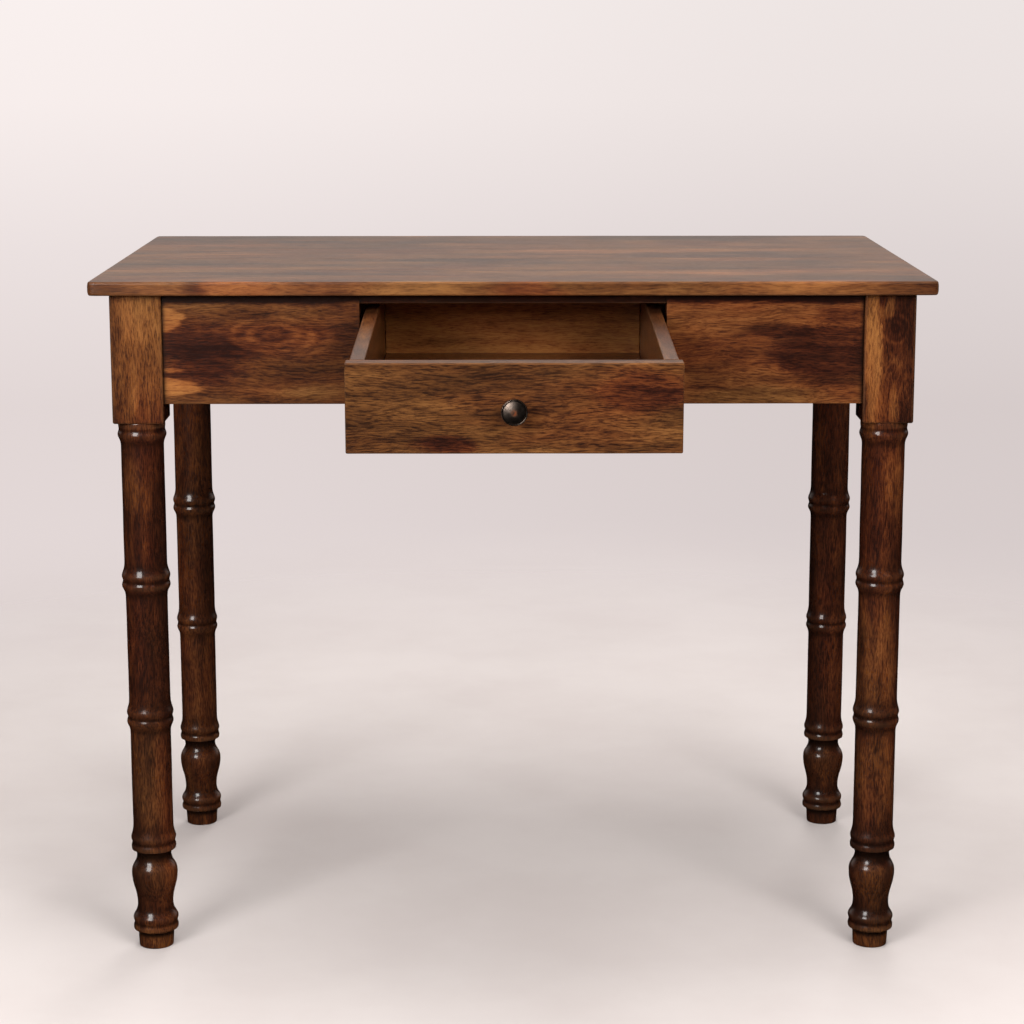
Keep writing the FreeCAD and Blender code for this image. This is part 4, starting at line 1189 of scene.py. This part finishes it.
@dataclass
class Frame:
    """The legs, the aprons between them, and the hidden pieces that keep their CAD solids."""

    legs: tuple[Leg, ...] = (
        Leg("leg_front_left",
            Wood("leg_front_left_wood", Way.Z, (-0.385, -0.262, 0.3), 0.30, 0.80, 0.40,
                 (Patch((-0.405, -0.266, 0.675), (0.06, 0.06, 0.10), -0.50, -0.5, 0.5),
                  front_patch(-0.404, 0.200, 0.03, 0.12, -0.44, -0.4, 0.8),
                  front_patch(-0.396, 0.078, 0.03, 0.05, -0.42, -0.3, 0.8),
                  front_patch(-0.400, 0.012, 0.05, 0.030, -0.55, -0.3, 0.8),
                  front_patch(-0.405, 0.515, 0.02, 0.05, -0.30, -0.3, 0.9)), **LEG_LACQUER), 20),
        Leg("leg_front_right",
            Wood("leg_front_right_wood", Way.Z, (0.415, -0.225, 0.3), 0.21, 0.78, 0.40,
                 (front_patch(0.384, 0.665, 0.013, 0.130, -0.85, -0.4, 0.6, BLOCK_FRONT),
                  front_patch(0.408, 0.616, 0.008, 0.028, -0.75, -0.4, 0.8, BLOCK_FRONT),
                  front_patch(0.400, 0.722, 0.012, 0.014, -0.6, -0.4, 0.9, BLOCK_FRONT),
                  front_patch(0.408, 0.664, 0.010, 0.010, -0.4, -0.2, 0.9, BLOCK_FRONT),
                  front_patch(0.411, 0.535, 0.022, 0.060, -0.55, -0.2, 0.7),
                  front_patch(0.395, 0.330, 0.05, 0.09, -0.28, -0.4, 0.7),
                  front_patch(0.400, 0.190, 0.05, 0.080, -0.46, -0.3, 0.7),
                  front_patch(0.398, 0.078, 0.03, 0.05, -0.52, -0.3, 0.8),
                  front_patch(0.400, 0.012, 0.05, 0.030, -0.75, -0.3, 0.8)),
                 (Knot((0.4065, -0.266, 0.698), (0.024, 0.03, 0.026), 0.42, 3.2, 0.20),), **LEG_LACQUER), 24),
        Leg("leg_back_left",
            Wood("leg_back_left_wood", Way.Z, (-0.42, 0.21, 0.3), 0.34, 0.62, 0.34, **LEG_LACQUER), 28),
        Leg("leg_back_right",
            Wood("leg_back_right_wood", Way.Z, (0.39, 0.19, 0.3), 0.25, 0.70, 0.30,
                 (Patch((0.400, 0.172, 0.078), (0.05, 0.06, 0.050), -0.30, -0.3, 0.8),), **LEG_LACQUER), 32),
    )
    left_panel: Wood = Wood(
        "apron_front_left_wood", Way.X, (-0.30, -0.245, 0.83), 0.50, 0.60, 0.26,
        (front_patch(-0.330, 0.674, 0.062, 0.050, 0.42, 0.5, 0.8),
         front_patch(-0.372, 0.707, 0.026, 0.017, -1.0, 0.1, 0.35),
         front_patch(-0.370, 0.636, 0.036, 0.010, -0.9, 0.1, 0.35),
         front_patch(-0.370, 0.6535, 0.026, 0.004, -0.7, 0.1, 0.5),
         front_patch(-0.205, 0.629, 0.060, 0.016, -0.45, -0.5, 0.8),
         front_patch(-0.252, 0.688, 0.082, 0.036, -0.34, 0.5, 0.8), OVERHANG_SHADE),
        (Knot((-0.256, -0.262, 0.692), (0.085, 0.05, 0.036), 0.24, 4.6, 0.22),))
    right_panel: Wood = Wood(
        "apron_front_right_wood", Way.X, (0.25, -0.24, 0.58), 0.60, 0.80, 0.24,
        (front_patch(0.345, 0.670, 0.082, 0.040, 0.72, 0.1, 0.5),
         front_patch(0.285, 0.697, 0.045, 0.011, 0.62, 0.0, 0.5),
         front_patch(0.350, 0.714, 0.040, 0.012, 0.45, 0.3, 0.6),
         front_patch(0.255, 0.626, 0.110, 0.014, -0.1, -0.7, 0.7), OVERHANG_SHADE))
    plain_tone: Vec = (0.42, 0.55, 0.36)
    seed: int = 40
    # Painted shade: the upper rail's wood is drawn near black, as the rail lies in the shadow of the top.
    shaded_rail_wood: Wood = Wood("front_top_rail_shaded_wood", Way.X, (0.0, -0.3, 0.80), 0.05, 0.6, 0.15)
    hidden: dict[str, tuple[str, ...]] = field(default_factory=lambda: {
        "inner_wood_x": ("corner_block_front_left", "corner_block_front_right", "corner_block_back_right",
                         "corner_block_back_left", "drawer_stop", "drawer_glide", "front_bottom_rail",
                         "top_buttons"),
        "inner_wood_y": ("drawer_runner_left", "drawer_runner_right", "drawer_kicker_left",
                         "drawer_kicker_right"),
        "steel": ("top_button_screws", "knob_screw"),
    })

    def aprons(self) -> list[Apron]:
        """Set out the aprons and the upper rail, each between the pieces that hold its ends.

        Returns:
            The two front panels, the left, right and back aprons, and the rail.
        """
        block_left, block_right = corners("leg_front_left"), corners("leg_front_right")
        back_left = corners("leg_back_left")
        left, right = block_left[1][0], block_right[0][0]
        front, back = block_left[1][1], back_left[0][1]
        opening = (corners("apron_front_left")[1][0], corners("apron_front_right")[0][0])
        aprons = [
            Apron("apron_front_left", Way.X, (left, opening[0]), self.left_panel, self.seed, (True, False)),
            Apron("apron_front_right", Way.X, (opening[1], right), self.right_panel, self.seed + 1,
                  (False, True)),
        ]
        plain = (("apron_left", Way.Y, (front, back), (-0.40, 0.0, 0.80)),
                 ("apron_right", Way.Y, (front, back), (0.43, 0.1, 0.58)),
                 ("apron_back", Way.X, (left, right), (0.1, 0.23, 0.80)))
        for seed, (node, way, ends, pith) in enumerate(plain, self.seed + 2):
            aprons.append(Apron(node, way, ends, Wood(f"{node}_wood", way, pith, *self.plain_tone), seed))
        return [*aprons, Apron("front_top_rail", Way.X, opening, self.shaded_rail_wood, self.seed + 5)]

    def build(self) -> None:
        """Build the legs and aprons, and give the hidden CAD pieces their finishes."""
        for piece in (*self.legs, *self.aprons()):
            piece.build()
        finishes = {
            "inner_wood_x": Wood("inner_wood_x", Way.X, (0.1, 0.1, 0.9), 0.46, 0.45, **BARE).build(),
            "inner_wood_y": Wood("inner_wood_y", Way.Y, (0.1, 0.1, 0.9), 0.46, 0.45, **BARE).build(),
            "steel": Metal("screw_steel_finish", (0.30, 0.29, 0.28), (0.55, 0.54, 0.52), 0.38).build(),
        }
        for finish, names in self.hidden.items():
            for node in names:
                for slot in frame["nodes"][node].material_slots:
                    slot.material = finishes[finish]
                log.info("%s keeps its CAD solid", node)


# Stage


def standing(right: np.ndarray, up: np.ndarray, back: np.ndarray, place: Vec) -> Matrix:
    """Give the matrix of a lamp or camera from its own three axes and its place.

    Args:
        right: Its X axis.
        up: Its Y axis.
        back: Its Z axis, which points away from what it faces.
        place: Where it stands.

    Returns:
        The matrix.
    """
    pose = np.eye(4)
    pose[:3] = np.stack([right, up, back, place], axis=1)
    return Matrix(pose.tolist())


@dataclass(frozen=True)
class Lamp:
    """A soft square panel of light.

    Attributes:
        name: Name of the lamp.
        place: Where it stands.
        aim: What it points at.
        size: Width of the panel.
        power: Its power in watts.
        mirrored: Whether it shows in reflections.
        colour: Its colour.
    """

    name: str
    place: Vec
    aim: Vec
    size: float
    power: float
    mirrored: bool = False
    colour: Vec = (1.0, 0.975, 0.95)

    def build(self) -> None:
        """Add the lamp, turned so that its panel faces what it points at."""
        lamp = bpy.data.lights.new(self.name, "AREA")
        lamp.size = self.size
        lamp.energy = self.power
        lamp.color = self.colour
        thing = linked(self.name, lamp)
        place, aim = np.array(self.place), np.array(self.aim)
        back = (place - aim) / np.linalg.norm(place - aim)
        right = np.cross([0.0, 0.0, 1.0], back)
        right /= np.linalg.norm(right)
        thing.matrix_world = standing(right, np.cross(back, right), back, self.place)
        thing.visible_glossy = self.mirrored


@dataclass
class Studio:
    """The pale floor and background, the soft lamps, and the camera at the photo's viewpoint."""

    reach: float = 3.0
    eye: Vec = (-0.01067, -2.94781, 1.02949)
    yaw: float = 0.2
    pitch: float = 11.17
    roll: float = -0.03
    focal: float = 2535.1 / 1024.0
    sensor: float = 36.0
    sky: Vec = (0.88, 0.80, 0.75)
    sky_strength: float = 0.31
    mirrored: float = 0.53
    wall: tuple[tuple[float, Vec], ...] = (
        (0.05, (0.735, 0.655, 0.648)), (0.375, (0.715, 0.638, 0.630)), (0.525, (0.785, 0.710, 0.702)),
        (0.665, (0.880, 0.805, 0.790)), (0.875, (0.915, 0.850, 0.835)))
    wall_span: tuple[float, float] = (-0.3, 0.1)
    sides: tuple[float, float] = (1.06, 0.94)
    side_span: tuple[float, float] = (-0.2, 0.2)
    horizon: tuple[float, float] = (-0.03, 0.10)
    rear: tuple[float, float] = (0.2, 0.8)
    lamps: tuple[Lamp, ...] = (
        Lamp("soft_above", (0.05, -0.42, 2.7), (0.05, 0.05, 0.0), 1.9, 46.0),
        Lamp("soft_behind", (0.5, 3.0, 1.9), (0.0, 0.0, 0.5), 1.4, 42.0),
        Lamp("soft_left", (-1.5, -2.5, 1.65), (0.0, -0.1, 0.5), 1.1, 45.0, True),
        Lamp("soft_right", (1.25, -2.4, 1.65), (0.0, -0.1, 0.5), 1.1, 37.5),
    )

    def build_floor(self) -> None:
        """Build the floor as one flat square."""
        corner = np.array([(-1, -1, 0), (1, -1, 0), (1, 1, 0), (-1, 1, 0)]) * self.reach
        mesh = bpy.data.meshes.new("stage_floor")
        mesh.from_pydata(corner.tolist(), [], [(0, 1, 2, 3)])
        mesh.materials.append(Plaster().build())
        floor = linked("stage_floor", mesh)
        floor.visible_glossy = False

    def build_camera(self) -> None:
        """Put the camera where the photo was taken from."""
        yaw, pitch, roll = (math.radians(a) for a in (self.yaw, self.pitch, self.roll))
        ahead = np.array([math.sin(yaw) * math.cos(pitch), math.cos(yaw) * math.cos(pitch), -math.sin(pitch)])
        right = np.array([math.cos(yaw), -math.sin(yaw), 0.0])
        up = np.cross(right, ahead)
        turned_right = right * math.cos(roll) + up * math.sin(roll)
        turned_up = up * math.cos(roll) - right * math.sin(roll)
        lens = bpy.data.cameras.new("photo_camera")
        lens.sensor_width = self.sensor
        lens.lens = self.sensor * self.focal
        camera = linked("photo_camera", lens)
        camera.matrix_world = standing(turned_right, turned_up, -ahead, self.eye)
        bpy.context.scene.camera = camera

    def build_sky(self) -> None:
        """Give the camera a pale wall, the desk a weak pale light, and what mirrors a pale sky behind."""
        world = bpy.data.worlds.new("pale_room")
        world.use_nodes = True
        nodes = Graph("pale_room", world.node_tree, "ShaderNodeBackground", "ShaderNodeOutputWorld")
        split = nodes.node("ShaderNodeSeparateXYZ", {0: nodes.place("Generated")}).outputs
        path = nodes.node("ShaderNodeLightPath", {}).outputs
        wall = nodes.ramp(nodes.remap(split["Z"], *self.wall_span, line=True), self.wall)
        side = nodes.remap(split["X"], *self.side_span, *self.sides)
        wall = nodes.node("ShaderNodeVectorMath", {0: wall, "Scale": side}, operation="SCALE").outputs[0]
        above = nodes.remap(split["Z"], *self.horizon, 0.0, self.mirrored)
        mirrored = nodes.math("MULTIPLY", above, nodes.remap(split["Y"], *self.rear))
        gain = nodes.math("SUBTRACT", mirrored, self.sky_strength)
        light = nodes.math("MULTIPLY_ADD", path["Is Glossy Ray"], gain, self.sky_strength)
        seen = path["Is Camera Ray"]
        strength = nodes.math("MULTIPLY_ADD", seen, nodes.math("SUBTRACT", 1.0, light), light)
        nodes.set(color=nodes.mix(seen, (*self.sky, 1.0), wall), strength=strength)
        bpy.context.scene.world = world

    def build(self) -> None:
        """Build the whole stage."""
        self.build_floor()
        self.build_camera()
        self.build_sky()
        for lamp in self.lamps:
            lamp.build()
        bpy.context.scene.view_settings.view_transform = "Standard"


def main() -> None:
    """Build the desk and its stage."""
    logging.basicConfig(level=logging.INFO, format="%(message)s")
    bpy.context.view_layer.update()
    for part in (Studio(), Tabletop(), Frame(), Drawer()):
        part.build()
        log.info("%s is done", type(part).__name__)


if __name__ == "__main__":
    main()
